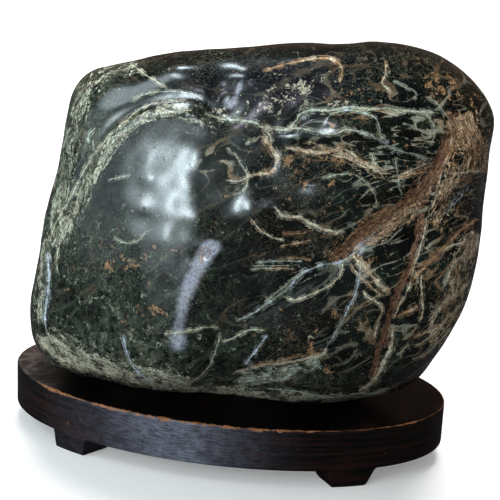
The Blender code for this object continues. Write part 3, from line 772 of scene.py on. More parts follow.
# %% [markdown]
# ## The stand
#
# The stand is one oval slab of hardwood.  Its underside is cut back so that four short bracket
# feet are left, flush with the wall, and a seat is sunk in its top along the stone's own outline.
# The whole block is one grid: lines run round the oval, and rows run from the middle of the top
# out over the rim, down the wall, round the lower edge and back in underneath.  The lines crowd
# together at the sides of each foot, so the feet are cut crisply.
#
# The seat has one radius for each way out from its middle.  At the front left the outline runs
# nearly along such a way, and the gap is lost there: the two pieces cross by about 0.1 mm.

# %% The oval, and the lines that run down its wall
HALF_LENGTH, HALF_WIDTH = (stand_high - stand_low)[:2] / 2
FOOT_HEIGHT = 0.0097
FOOT_SKEW = math.radians(12)
# Side, share of the half length, width, depth, and the flare of the inner side where it leaves
# the wall, of the same side deeper in, and of the outer side.
FEET = (
    (-1, 0.630, 0.0185, 0.016, 0.0012, 0.0060, 0.0025),
    (1, 0.634, 0.0175, 0.012, 0.0015, 0.0085, 0.0070),
)
PLAIN_LINES = 320
FLARE_LINES = 8
FREE_DEPTH = 0.014
FLARE_REACH = 0.012
FOOT_CLEAR = 0.004
FOOT_BLEND = 0.022
# How far to either side of a foot its lines are looked for, as a turn, and in how many steps.
FOOT_SPAN = 0.4
SPAN_STEPS = 801
NEAR_WIDTHS = 2.5


def oval_points(turns):
    """(half length * cos, half width * sin) for each turn."""
    return np.stack([HALF_LENGTH * np.cos(turns), HALF_WIDTH * np.sin(turns)], axis=1)


def foot_frames():
    """Each foot's turn and place on the oval, its way out and its way across to the inner side."""
    for side_x, share, width, depth, *flares in FEET:
        wall_x, wall_y = HALF_LENGTH * share, HALF_WIDTH * math.sqrt(1 - share ** 2)
        outward = math.atan2(wall_y / HALF_WIDTH ** 2, wall_x / HALF_LENGTH ** 2) - FOOT_SKEW
        for side_y in (-1, 1):
            sides = np.array([side_x, side_y])
            place = sides * (wall_x, wall_y)
            out = sides * (math.cos(outward), math.sin(outward))
            across = sides * (-math.sin(outward), math.cos(outward))
            turn = math.atan2(place[1] / HALF_WIDTH, place[0] / HALF_LENGTH)
            yield turn, place, out, across, width, depth, flares


def wall_turns():
    """Even turns round the oval, with extra lines through both sides of each foot."""
    turns = [np.linspace(0, 2 * math.pi, PLAIN_LINES, endpoint=False)]
    spread = np.linspace(0, 1, FLARE_LINES)
    for turn, place, _, across, width, _, (front_flare, _, outer_flare) in foot_frames():
        nearby = turn + np.linspace(-FOOT_SPAN, FOOT_SPAN, SPAN_STEPS)
        offset = (oval_points(nearby) - place) @ across
        order = np.argsort(offset)
        for side, flare in ((1, front_flare), (-1, outer_flare)):
            wanted = side * (width / 2 + flare * spread)
            turns.append(np.interp(wanted, offset[order], nearby[order]) % (2 * math.pi))
    return np.unique(np.round(np.concatenate(turns), 6))


print(len(wall_turns()), "lines go round the oval")

# %% Where each line ends under the stand, and the seat's outline
def under_shape(turns):
    """For each line: how high the wall's foot is, and the point under the stand that it runs to.

    Within a foot's width the wall goes down to the floor.  Through its flare it rises as a
    smooth step.  The inner flare opens with depth, so the lines fan out on their way in.
    """
    rim = oval_points(turns)
    normal = rim / np.array([HALF_LENGTH, HALF_WIDTH]) ** 2
    normal /= np.linalg.norm(normal, axis=1)[:, None]
    share_up, fan = np.ones(len(turns)), np.zeros_like(rim)
    way_in, depth_in = -normal, np.full(len(turns), FREE_DEPTH)
    for _, place, out, across, width, depth, (front_flare, back_flare, outer_flare) in foot_frames():
        offset = (rim - place) @ across
        near = np.linalg.norm(rim - place, axis=1) < NEAR_WIDTHS * width
        inner = (offset - width / 2) / front_flare
        outer = (-offset - width / 2) / outer_flare
        share_up = np.where(near, smooth_step(np.maximum(inner, outer)), share_up)
        opened = np.clip(inner, 0, 1) * np.exp(-np.maximum(inner - 1, 0) * front_flare / FLARE_REACH)
        fan += np.where(near, (back_flare - front_flare) * opened, 0)[:, None] * across
        beyond = np.abs(offset) - width / 2 - np.where(offset > 0, back_flare, outer_flare) - FOOT_CLEAR
        weight = np.where(near, 1 - smooth_step(beyond / FOOT_BLEND), 0)
        way_in += weight[:, None] * (-out + normal)
        depth_in += weight * (depth - FREE_DEPTH)
    way_in /= np.linalg.norm(way_in, axis=1)[:, None]
    return rim, normal, FOOT_HEIGHT * share_up, rim + depth_in[:, None] * way_in + fan


def seat_outline(turns_to):
    """The stone's outline at the stand's top: the seat's middle, and its radius along each way.

    Every edge of the stone's mesh that crosses that level gives one point of the outline.
    """
    edges = np.concatenate([stone_quads[:, [0, 1]], stone_quads[:, [1, 2]]])
    start, end = stone_points[edges[:, 0]], stone_points[edges[:, 1]]
    crossing = (start[:, 2] - STAND_TOP) * (end[:, 2] - STAND_TOP) < 0
    start, end = start[crossing], end[crossing]
    share = (STAND_TOP - start[:, 2]) / (end[:, 2] - start[:, 2])
    outline = (start + (end - start) * share[:, None])[:, :2]
    middle = (outline.min(axis=0) + outline.max(axis=0)) / 2
    way = outline - middle
    angle = np.arctan2(way[:, 1], way[:, 0])
    order = np.argsort(angle)
    wanted = np.arctan2(*(turns_to - middle).T[::-1])
    radius = np.interp(wanted, angle[order], np.linalg.norm(way, axis=1)[order], period=2 * math.pi)
    return middle, np.stack([np.cos(wanted), np.sin(wanted)], axis=1), radius


turns = wall_turns()
rim_oval, rim_normal, foot_line, under_ring = under_shape(turns)
seat_middle, seat_ways, seat_radius = seat_outline(rim_oval + STAND_MIDDLE[:2])
print(len(turns), "lines round the stand; the seat is", round(2 * float(seat_radius.max()) / MM), "mm long")

# %% The stand's rows, from the middle of the seat to the middle of the underside
EDGE_ROUND = 0.0016
LOWER_ROUND = 0.0007
FIT_GAP = 0.0004
BACK_SLOPE = 0.0005
TOP_SHARES = (0.0, 0.06, 0.16, 0.3, 0.46, 0.62, 0.78, 0.92, 1.0)
WALL_ROWS = 14
ROUND_ROWS = 6
SEAT_SHARES = (0.5, 1.0)
LOWER_TURNS = np.radians((30, 60, 90))
INWARD_SHARES = (0.4, 0.7, 1.0)
UNDER_SHARES = (1.0, 0.75, 0.45, 0.2)
SHARP_ANGLE = math.radians(50)


def ringed_mesh(name, first, rows, last):
    """Rows of points joined round and down, closed by a fan at either end."""
    rows = np.array(rows)
    count, around = rows.shape[:2]
    number = 1 + np.arange(count * around).reshape(count, around)
    after = np.roll(number, -1, axis=1)
    quads = np.stack([number[:-1], number[1:], after[1:], after[:-1]], axis=-1).reshape(-1, 4)
    top = np.stack([np.zeros(around, int), number[0], after[0]], axis=1)
    end = np.full(around, count * around + 1)
    bottom = np.stack([number[-1], end, after[-1]], axis=1)
    points = np.vstack([first, rows.reshape(-1, 3), last])
    return piece_from(name, points, quads.tolist() + top.tolist() + bottom.tolist())


def at_height(plan, height):
    """Points over the plan points, at one height or at a height for each."""
    return np.column_stack([plan, np.broadcast_to(height, len(plan))])


def stand_rows():
    """Rows of points, with the way along the profile from the upper edge, in mm, for each row."""
    centre = STAND_MIDDLE[:2]
    rim = rim_oval + centre
    seat = seat_middle + seat_ways * (seat_radius + FIT_GAP)[:, None]
    seat_floor = STAND_TOP - SEAT_DEPTH - FIT_GAP
    rows = [at_height(seat_middle + (seat - seat_middle) * share, seat_floor) for share in SEAT_SHARES]
    ways = [np.full(len(rim), -FAR)] * len(rows)
    flat = rim - EDGE_ROUND * rim_normal
    for share in TOP_SHARES:
        plan = seat + (flat - seat) * share
        rows.append(at_height(plan, STAND_TOP))
        ways.append(-(np.linalg.norm(flat - plan, axis=1) + EDGE_ROUND) / MM)
    for turn in np.linspace(0, math.pi / 2, ROUND_ROWS + 1)[1:]:
        plan = rim - EDGE_ROUND * (1 - math.sin(turn)) * rim_normal
        rows.append(at_height(plan, STAND_TOP - EDGE_ROUND * (1 - math.cos(turn))))
        ways.append(np.full(len(rim), EDGE_ROUND * (turn / (math.pi / 2) * 2 - 1) / MM))
    upper, lower = STAND_TOP - EDGE_ROUND, foot_line + LOWER_ROUND
    for share in np.linspace(0, 1, WALL_ROWS + 1)[1:]:
        height = upper + (lower - upper) * share
        rows.append(at_height(rim, height))
        ways.append((STAND_TOP - height) / MM)
    inward = under_ring - rim_oval
    length = np.linalg.norm(inward, axis=1)[:, None]
    for turn in LOWER_TURNS:
        plan = rim + inward / length * LOWER_ROUND * (1 - math.cos(turn))
        rows.append(at_height(plan, foot_line + LOWER_ROUND * (1 - math.sin(turn))))
    for share in INWARD_SHARES:
        rows.append(at_height(rim + inward * share, foot_line))
    back = under_ring + inward / length * BACK_SLOPE
    for share in UNDER_SHARES:
        rows.append(at_height(centre + back * share, FOOT_HEIGHT))
    ways += [np.full(len(rim), FAR)] * (len(rows) - len(ways))
    return [*seat_middle, seat_floor], rows, [*centre, FOOT_HEIGHT], np.array(ways)


first, rows, last, edge_ways = stand_rows()
wood_stand = ringed_mesh("carved_stand", first, rows, last)
wood_stand.data.set_sharp_from_angle(angle=SHARP_ANGLE)
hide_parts("stand")
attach(wood_stand, "root")
print("stand:", len(rows), "rows of", len(turns), "points")

# %% [markdown]
# ## Wear, haze and painted sheen on the stand
#
# The lacquer has rubbed off along the front of the upper edge, where hands slide the stand over a table,
# and shows bare orange-brown wood there.  Left of the middle, the wall is hazed by fine scratches, with a
# painted sheen, the lacquer's mirrored light painted into its colour.  Both are listed amounts along the
# wall.

# %% Where the edge is worn, and where the haze and the painted sheen lie
# Each is (template x of the front edge, amount).
EDGE_WEAR = (
    (30, 0.0), (42, 0.2), (48, 0.9), (66, 0.7), (76, 0.15), (88, 0.5), (100, 0.7), (115, 1.0), (160, 0.9),
    (175, 0.75), (200, 0.85), (250, 0.8), (300, 0.75), (318, 0.25), (345, 0.05), (395, 0.3), (412, 0.5),
    (428, 0.1),
)
# The haze is scratch haze with a painted sheen, the lacquer's mirrored light painted into its colour.
WALL_HAZE_AND_SHEEN = (
    (40, 0.02), (70, 0.14), (100, 0.25), (125, 0.6), (150, 1.0), (188, 1.1), (210, 0.7), (240, 0.35),
    (275, 0.1), (310, 0.02),
)
# On the top's left end the haze is dust with a painted sheen.
TOP_HAZE_AND_SHEEN = ((20, 1.0), (45, 0.8), (62, 0.1), (75, 0.0))
BACK_WEAR = 0.35
BACK_HAZE_AND_SHEEN = 0.3
WEAR_FADE = 0.3


def wear_field(points, edge_way):
    """For each point: the way from the edge in mm, the wear, the haze and painted sheen, and top or wall."""
    in_face = (points - HEART) @ AXES.T
    x, _ = template_place(in_face)
    front = smooth_step((STAND_MIDDLE[1] - points[:, 1]) / HALF_WIDTH / WEAR_FADE + 0.5)
    wear = BACK_WEAR + (np.interp(x, *zip(*EDGE_WEAR)) - BACK_WEAR) * front
    haze_and_sheen = BACK_HAZE_AND_SHEEN + (np.interp(x, *zip(*WALL_HAZE_AND_SHEEN)) - BACK_HAZE_AND_SHEEN) * front
    haze_and_sheen = np.where(edge_way < 0, np.interp(x, *zip(*TOP_HAZE_AND_SHEEN)), haze_and_sheen)
    return np.stack([edge_way, wear, haze_and_sheen, edge_way < 0], axis=1)


stand_points = np.vstack([first, np.array(rows).reshape(-1, 3), last])
edge_way = np.concatenate([[-FAR], edge_ways.ravel(), [FAR]])
keep_field(wood_stand, "wear", wear_field(stand_points, edge_way))
print("wear stored on", len(stand_points), "points")

# %% [markdown]
# ## The finishes
#
# Both finishes are worked out from where a point lies and from the numbers that the pieces
# carry.  Their sums are long, so a few short hands write one node each.

# %% Short hands for nodes
def put(tree, kind, **settings):
    """A new node with its settings."""
    node = tree.nodes.new("ShaderNode" + kind)
    for name, value in settings.items():
        setattr(node, name, value)
    return node


def feed(tree, socket, value):
    """Links an output into the socket, or sets the socket to a plain value."""
    if isinstance(value, bpy.types.NodeSocket):
        tree.links.new(value, socket)
    else:
        socket.default_value = value


def maths(tree, operation, *values):
    """One sum on numbers, such as MULTIPLY or SUBTRACT."""
    node = put(tree, "Math", operation=operation)
    for socket, value in zip(node.inputs, values):
        feed(tree, socket, value)
    return node.outputs[0]


def times(tree, first, second):
    """first * second."""
    return maths(tree, "MULTIPLY", first, second)


def times_plus(tree, first, second, third):
    """first * second + third."""
    return maths(tree, "MULTIPLY_ADD", first, second, third)


def from_half(tree, value):
    """How far a number is from 0.5, either way."""
    return maths(tree, "ABSOLUTE", maths(tree, "SUBTRACT", value, 0.5))


def between(tree, value, low, high, start=0.0, end=1.0):
    """Start below low, end above high, and a smooth step from one to the other."""
    node = put(tree, "MapRange", interpolation_type="SMOOTHSTEP")
    for socket, given in zip(node.inputs, (value, low, high, start, end)):
        feed(tree, socket, given)
    return node.outputs[0]


def blend(tree, share, first, second, way="MIX"):
    """The first colour where the share is 0, and the second where it is 1."""
    node = put(tree, "Mix", data_type="RGBA", blend_type=way)
    for socket, given in zip((node.inputs[0], node.inputs[6], node.inputs[7]), (share, first, second)):
        feed(tree, socket, given)
    return node.outputs[2]


def noise(tree, place, scale, detail=2.0, roughness=0.5, distortion=0.0):
    """Cloudy numbers about 0.5, with scale clouds a metre."""
    node = put(tree, "TexNoise")
    settings = {"Scale": scale, "Detail": detail, "Roughness": roughness, "Distortion": distortion}
    feed(tree, node.inputs["Vector"], place)
    for name, value in settings.items():
        feed(tree, node.inputs[name], value)
    return node.outputs[0]


def wander(tree, place, scale, detail=2.0, roughness=0.5):
    """Cloudy numbers about 0, which push a line to either side."""
    return maths(tree, "SUBTRACT", noise(tree, place, scale, detail, roughness), 0.5)


def kept(tree, name):
    """The four numbers that a piece keeps under this name."""
    node = put(tree, "Attribute", attribute_type="GEOMETRY", attribute_name=name)
    parts = put(tree, "SeparateColor")
    feed(tree, parts.inputs[0], node.outputs["Color"])
    return [*parts.outputs, node.outputs["Alpha"]]


print("short hands ready: times, times_plus, between, blend, noise, wander, kept")

# %% [markdown]
# Three effects serve both finishes: a ragged line, which is a vein in the stone and the rubbed
# edge on the stand; fibres, which are a seam's streaks and the wood's grain; and specks.  A
# fourth, a lace of threads, is the stone's alone, at four scales.  Each is built once as a node
# group, and gives out only numbers.

# %% The shared effects
def shared_effect(name, takes, gives):
    """An empty node group with its sockets; gives its tree, its inputs and its outputs."""
    tree = bpy.data.node_groups.new(name, "ShaderNodeTree")
    for label, kind in takes.items():
        tree.interface.new_socket(label, in_out="INPUT", socket_type="NodeSocket" + kind)
    for label in gives:
        tree.interface.new_socket(label, in_out="OUTPUT", socket_type="NodeSocketFloat")
    return tree, tree.nodes.new("NodeGroupInput").outputs, tree.nodes.new("NodeGroupOutput").inputs


def use(tree, effect, **values):
    """The outputs of a shared effect, fed with these values."""
    node = put(tree, "Group", node_tree=effect)
    for name, value in values.items():
        feed(tree, node.inputs[name], value)
    return node.outputs


def ragged_line_effect():
    """1 on the line and 0 beyond its half width, wavering and frayed, with a broken side strand."""
    takes = {"Place": "Vector", "Signed": "Float", "Gap": "Float", "Half": "Float", "Rag": "Float"}
    tree, given, result = shared_effect("ragged_line", takes, ("Line", "Strand", "Halo"))
    waver = wander(tree, given["Place"], 150.0)
    fray = wander(tree, given["Place"], 620.0, 4.0, 0.7)
    shift = times_plus(tree, waver, 1.8, times(tree, fray, 1.5))
    shift = times(tree, shift, given["Rag"])
    gap = maths(tree, "ABSOLUTE", maths(tree, "ADD", given["Signed"], shift))
    gate = between(tree, given["Gap"], 2.2, 3.0, 1.0, 0.0)
    swell = noise(tree, given["Place"], 240.0, 3.0, 0.6)
    half = times(tree, given["Half"], between(tree, swell, 0.33, 0.67, 0.25, 1.35))
    line = between(tree, gap, times(tree, half, 0.55), half, 1.0, 0.0)
    grains = noise(tree, given["Place"], 760.0, 3.0, 0.7)
    line = times(tree, line, between(tree, grains, 0.36, 0.52, 0.4, 1.0))
    aside = times_plus(tree, given["Half"], 1.5, 0.45)
    aside = maths(tree, "ABSOLUTE", maths(tree, "SUBTRACT", gap, aside))
    strand = times(tree, between(tree, aside, 0.05, 0.26, 1.0, 0.0), between(tree, swell, 0.46, 0.56))
    halo = between(tree, gap, half, times_plus(tree, half, 1.6, 0.5), 1.0, 0.0)
    for label, share in (("Line", line), ("Strand", strand), ("Halo", halo)):
        feed(tree, result[label], times(tree, share, gate))
    return tree


def fibres_effect():
    """Streaks: noise read far apart along the fibre and close together across it, both in mm."""
    takes = {"Along": "Float", "Across": "Float", "Depth": "Float", "Length": "Float", "Width": "Float"}
    tree, given, result = shared_effect("fibres", takes, ("Fine", "Coarse"))
    for label, stretch in (("Fine", 1.0), ("Coarse", 0.42)):
        place = put(tree, "CombineXYZ")
        length = maths(tree, "DIVIDE", stretch, given["Length"])
        width = maths(tree, "DIVIDE", stretch, given["Width"])
        feed(tree, place.inputs[0], times(tree, given["Along"], length))
        feed(tree, place.inputs[1], times(tree, given["Across"], width))
        feed(tree, place.inputs[2], times(tree, given["Depth"], length))
        feed(tree, result[label], noise(tree, place.outputs[0], 1.0, 3.0, 0.6, 0.4))
    return tree


def specks_effect():
    """Small ragged spots, more of them where the density is higher."""
    takes = {"Place": "Vector", "Size": "Float", "Density": "Float"}
    tree, given, result = shared_effect("specks", takes, ("Spots",))
    cluster = noise(tree, given["Place"], maths(tree, "DIVIDE", 220.0, given["Size"]), 2.0, 0.5)
    fine = noise(tree, given["Place"], maths(tree, "DIVIDE", 900.0, given["Size"]), 3.0, 0.65)
    value = times_plus(tree, cluster, 0.6, times(tree, fine, 0.5))
    start = times_plus(tree, given["Density"], -0.16, 0.72)
    feed(tree, result["Spots"], between(tree, value, start, maths(tree, "ADD", start, 0.03)))
    return tree


def threads_effect():
    """A lace of thin wandering threads: 1 where cloudy numbers are within a width of 0.5."""
    takes = {"Place": "Vector", "Scale": "Float", "Width": "Float"}
    tree, given, result = shared_effect("threads", takes, ("Threads",))
    cloudy = noise(tree, given["Place"], given["Scale"], 3.0, 0.55, 0.35)
    gap = from_half(tree, cloudy)
    near = times(tree, given["Width"], 0.3)
    feed(tree, result["Threads"], between(tree, gap, near, given["Width"], 1.0, 0.0))
    return tree


RAGGED_LINE, FIBRES = ragged_line_effect(), fibres_effect()
SPECKS, THREADS = specks_effect(), threads_effect()
print("shared effects:", RAGGED_LINE.name, FIBRES.name, SPECKS.name, THREADS.name)

# %% [markdown]
# ### The stone
#
# The ground is near-black with clouds of deep green, navy and brown.  Over it go dark islands
# with pale rims, a lace of threads, streaks along the bedding, specks, the fibrous bands and the
# veins, from dark to light, as the minerals grew.  Fine crumbs break up the lace and the streaks,
# so they look like mineral and not like drawn lines.  Soft lavender marks are painted highlights,
# mirrored light painted into the colour; the longest is a streak down the belly, and they are on
# the front alone.  The hand polish is a clear gloss over a slightly duller body, and the fibrous
# bands took the polish less well.

# %% Colours and the stone's finish
def colour(red, green, blue):
    """An opaque colour from its linear shares of red, green and blue."""
    return (red, green, blue, 1.0)


BLACK_GREEN = colour(0.0022, 0.0032, 0.0025)
DEEP_GREEN = colour(0.0055, 0.0092, 0.0068)
LEAF_GREEN = colour(0.050, 0.078, 0.050)
NAVY = colour(0.0040, 0.0048, 0.0110)
BROWN_BLACK = colour(0.0085, 0.0055, 0.0030)
PALE_GREEN = colour(0.38, 0.43, 0.31)
TAN = colour(0.52, 0.30, 0.15)
CREAM = colour(0.70, 0.64, 0.48)
# A pale lavender for the painted highlights, standing in for mirrored light.
PAINTED_LAVENDER_HIGHLIGHT = colour(0.60, 0.63, 0.74)
ISLAND_GREEN = colour(0.008, 0.020, 0.017)
BEDDING_DIM = colour(0.23, 0.22, 0.21)
# (share, colour) from blue-white over pale green, cream and tan to rust.
TINTS = (
    (0.0, colour(0.70, 0.78, 0.90)),
    (0.25, colour(0.54, 0.61, 0.46)),
    (0.5, colour(0.90, 0.82, 0.61)),
    (0.75, colour(0.72, 0.42, 0.21)),
    (1.0, colour(0.290, 0.148, 0.092)),
)


def tint_colour(tree, tint):
    """The colour of a vein's tint."""
    node = put(tree, "ValToRGB")
    marks = node.color_ramp.elements
    marks[0].position, marks[0].color = TINTS[0]
    marks[1].position, marks[1].color = TINTS[-1]
    for share, shade in TINTS[1:-1]:
        marks.new(share).color = shade
    feed(tree, node.inputs[0], tint)
    return node.outputs[0]


def dimmed(tree, shade, value):
    """The colour times a number, which is first made a grey."""
    grey = put(tree, "CombineColor")
    for socket in grey.inputs:
        feed(tree, socket, value)
    return blend(tree, 1.0, shade, grey.outputs[0], "MULTIPLY")


def new_finish(name):
    """A material with its shader, both empty."""
    finish = bpy.data.materials.new(name)
    finish.use_nodes = True
    tree = finish.node_tree
    tree.nodes.clear()
    shader = put(tree, "BsdfPrincipled")
    feed(tree, put(tree, "OutputMaterial").inputs["Surface"], shader.outputs[0])
    return finish, tree, shader


def bumped(tree, shader, height, distance):
    """Lets the height, times the distance in metres, tilt the shader's normal."""
    node = put(tree, "Bump")
    node.inputs["Distance"].default_value = distance
    feed(tree, node.inputs["Height"], height)
    feed(tree, shader.inputs["Normal"], node.outputs[0])


print("tints at", [share for share, _ in TINTS])

# %% The ground, its lace, specks and islands
def ground_colour(tree, place, cloud, mottle):
    """Near-black stone with clouds of its darker minerals."""
    green, navy, brown, pale = kept(tree, "zones")
    fine = noise(tree, place, 480.0, 4.0, 0.7, 0.6)
    rough = times_plus(tree, fine, 0.5, times(tree, mottle, 0.6))
    shade = blend(tree, between(tree, rough, 0.50, 0.68), BLACK_GREEN, DEEP_GREEN)
    leafy = times(tree, green, between(tree, rough, 0.46, 0.68))
    shade = blend(tree, leafy, shade, LEAF_GREEN)
    shade = blend(tree, times(tree, navy, 0.85), shade, NAVY)
    brownish = times(tree, brown, between(tree, cloud, 0.35, 0.6))
    shade = blend(tree, brownish, shade, BROWN_BLACK)
    chalk = between(tree, noise(tree, place, 130.0, 5.0, 0.7, 1.2), 0.40, 0.80)
    return blend(tree, times(tree, pale, chalk), shade, PALE_GREEN)


def add_lace(tree, place, cloud, mottle, crumbs, shade):
    """Pale and tan threads: coarse ones in some clouds, and very fine ones all over."""
    cover = kept(tree, "cover")
    kinds = ((60.0, 0.012, PALE_GREEN, 0.45), (85.0, 0.010, CREAM, 0.5), (120.0, 0.012, TAN, 0.5))
    for (scale, width, thread, strength), amount in zip(kinds, cover):
        lace = use(tree, THREADS, Place=place, Scale=scale, Width=width)["Threads"]
        start = times_plus(tree, amount, -0.16, 0.60)
        patch = between(tree, mottle, start, maths(tree, "ADD", start, 0.08), 0.0, strength)
        lace = times(tree, lace, crumbs)
        shade = blend(tree, times(tree, lace, patch), shade, thread)
    fine = use(tree, THREADS, Place=place, Scale=380.0, Width=0.022)["Threads"]
    fine = times(tree, fine, between(tree, cloud, 0.42, 0.65, 0.0, 0.30))
    return blend(tree, fine, shade, PALE_GREEN)


def add_specks(tree, place, shade):
    """Painted lavender highlights, then tan, cream and green specks, each where its density asks for them."""
    *densities, streak = kept(tree, "flecks_and_highlights")
    frayed = noise(tree, place, 500.0, 3.0, 0.6)
    # The fourth kept column paints the lavender highlights: mirrored light painted into the colour.
    painted_highlight_share = times_plus(tree, frayed, 0.5, maths(tree, "SUBTRACT", streak, 0.25))
    shade = blend(tree, between(tree, painted_highlight_share, 0.22, 0.85, 0.0, 0.9), shade, PAINTED_LAVENDER_HIGHLIGHT)
    kinds = zip(densities, (TAN, CREAM, PALE_GREEN), (1.2, 1.0, 1.2))
    for number, (density, speck, size) in enumerate(kinds):
        shifted = put(tree, "VectorMath", operation="ADD")
        feed(tree, shifted.inputs[0], place)
        shifted.inputs[1].default_value = (0.31 * number, 0.17, 0.05)
        spots = use(tree, SPECKS, Place=shifted.outputs[0], Size=size, Density=density)["Spots"]
        shade = blend(tree, times(tree, spots, 0.8), shade, speck)
    return shade


def add_islands(tree, place, depth, cloud, mottle, shade):
    """Dark islands with pale rims: lines where cloudy numbers, drawn out along the bedding, pass 0.5."""
    amount = kept(tree, "cover")[3]
    along, across = kept(tree, "flow")[:2]
    drift = between(tree, noise(tree, place, 110.0, 3.0, 0.6), 0.36, 0.64, 0.08, 1.0)
    wobble = times_plus(tree, mottle, 0.05, -0.025)
    for size, strength, widest in ((21.0, 1.0, 0.036), (9.0, 0.6, 0.034)):
        spot = put(tree, "CombineXYZ")
        for socket, value, share in zip(spot.inputs, (along, across, depth), (0.5, 1.0, 0.5)):
            feed(tree, socket, times(tree, value, share / size))
        cloudy = maths(tree, "ADD", noise(tree, spot.outputs[0], 1.0, 1.3, 0.5, 0.4), wobble)
        tone = blend(tree, between(tree, cloudy, 0.46, 0.54), BROWN_BLACK, ISLAND_GREEN)
        shade = blend(tree, times(tree, amount, 0.5 * strength), shade, tone)
        gap = from_half(tree, cloudy)
        rim = times(tree, between(tree, gap, 0.0, 0.07, 0.45, 0.0), times(tree, amount, drift))
        shade = blend(tree, rim, shade, LEAF_GREEN)
        width = times(tree, drift, widest)
        edge = between(tree, gap, times(tree, width, 0.35), width, 1.0, 0.0)
        edge = times(tree, times(tree, edge, strength), between(tree, drift, 0.1, 0.4))
        pale = tint_colour(tree, between(tree, cloud, 0.38, 0.62, 0.3, 0.85))
        drawn = times(tree, edge, between(tree, amount, 0.0, 1.0, 0.06, 0.85))
        shade = blend(tree, drawn, shade, pale)
    return shade


print("the coats under the bands are ready to lay")

# %% The fibrous bands, the veins and the bedding
def add_bands(tree, place, depth, shade):
    """Fibrous bands, and how much of the surface they take up."""
    total = 0.0
    sway = wander(tree, place, 70.0)
    shiver = wander(tree, place, 320.0, 3.0, 0.6)
    sway = times_plus(tree, sway, 7.0, times(tree, shiver, 4.5))
    crumb = noise(tree, place, 560.0, 4.0, 0.7)
    grit = between(tree, crumb, 0.38, 0.60, 0.55, 1.3)
    patch = between(tree, noise(tree, place, 120.0, 3.0, 0.6), 0.36, 0.52, 0.12, 1.0)
    for number in range(1, len(BAND_LAYERS) + 1):
        across, along, strength, tint = kept(tree, f"bands_{number}")
        solid = between(tree, tint, 0.85, 0.95)
        wavy = times_plus(tree, sway, between(tree, solid, 0.0, 1.0, 1.0, 0.6), across)
        length = between(tree, solid, 0.0, 1.0, 7.0, 10.0)
        fibres = use(tree, FIBRES, Along=along, Across=wavy, Depth=depth, Length=length, Width=0.65)
        strands = times_plus(tree, fibres["Coarse"], 0.42, times(tree, fibres["Fine"], 0.30))
        strands = times_plus(tree, crumb, 0.28, strands)
        start = times_plus(tree, strength, -0.17, 0.61)
        share = between(tree, strands, start, maths(tree, "ADD", start, 0.06), 0.0, 0.95)
        share = times(tree, share, between(tree, strength, 0.05, 0.4))
        share = times(tree, share, maths(tree, "MAXIMUM", patch, solid))
        paler = between(tree, fibres["Fine"], 0.42, 0.66, 0.12, -0.12)
        streak = tint_colour(tree, maths(tree, "ADD", tint, paler))
        lit = between(tree, fibres["Fine"], 0.36, 0.62, between(tree, solid, 0.0, 1.0, 0.17, 0.62), 0.96)
        lit = times(tree, lit, grit)
        streak = dimmed(tree, streak, lit)
        shade = blend(tree, share, shade, streak)
        total = maths(tree, "MAXIMUM", share, total)
    return shade, total


def add_veins(tree, place, shade):
    """The drawn veins, each with a side strand and a faint halo, and where they lie."""
    total = 0.0
    drift = wander(tree, place, 180.0, 3.0, 0.6)
    for number in range(1, len(VEIN_LAYERS) + 1):
        signed, gap, half, tint = kept(tree, f"veins_{number}")
        drawn = use(tree, RAGGED_LINE, Place=place, Signed=signed, Gap=gap, Half=half, Rag=1.0)
        vein = tint_colour(tree, times_plus(tree, drift, 0.8, tint))
        vein = dimmed(tree, vein, between(tree, drift, -0.2, 0.2, 1.3, 0.75))
        present = between(tree, half, 0.02, 0.2)
        share = times(tree, drawn["Halo"], 0.20)
        share = maths(tree, "MAXIMUM", share, times(tree, drawn["Strand"], 0.55))
        share = maths(tree, "MAXIMUM", share, times(tree, drawn["Line"], 0.92))
        shade = blend(tree, times(tree, share, present), shade, vein)
        total = maths(tree, "MAXIMUM", times(tree, drawn["Line"], present), total)
    return shade, total


def add_flow(tree, depth, cloud, crumbs, shade):
    """Brown, green and cream streaks that drift along the stone's bedding."""
    along, across, richness, paleness = kept(tree, "flow")
    fibres = use(tree, FIBRES, Along=along, Across=across, Depth=depth, Length=9.0, Width=1.6)
    start = times_plus(tree, richness, -0.11, 0.71)
    share = between(tree, fibres["Coarse"], start, maths(tree, "ADD", start, 0.09), 0.0, 0.75)
    share = times(tree, share, crumbs)
    tint = times_plus(tree, cloud, 1.2, times_plus(tree, paleness, -0.5, 0.35))
    streak = blend(tree, 1.0, tint_colour(tree, tint), BEDDING_DIM, "MULTIPLY")
    shade = blend(tree, share, shade, streak)
    bright = between(tree, fibres["Fine"], 0.60, 0.70)
    bright = times(tree, bright, between(tree, fibres["Coarse"], 0.5, 0.62))
    return blend(tree, times(tree, bright, times(tree, richness, 0.6)), shade,
                 tint_colour(tree, tint))


print("the bands, veins and bedding are ready to lay")

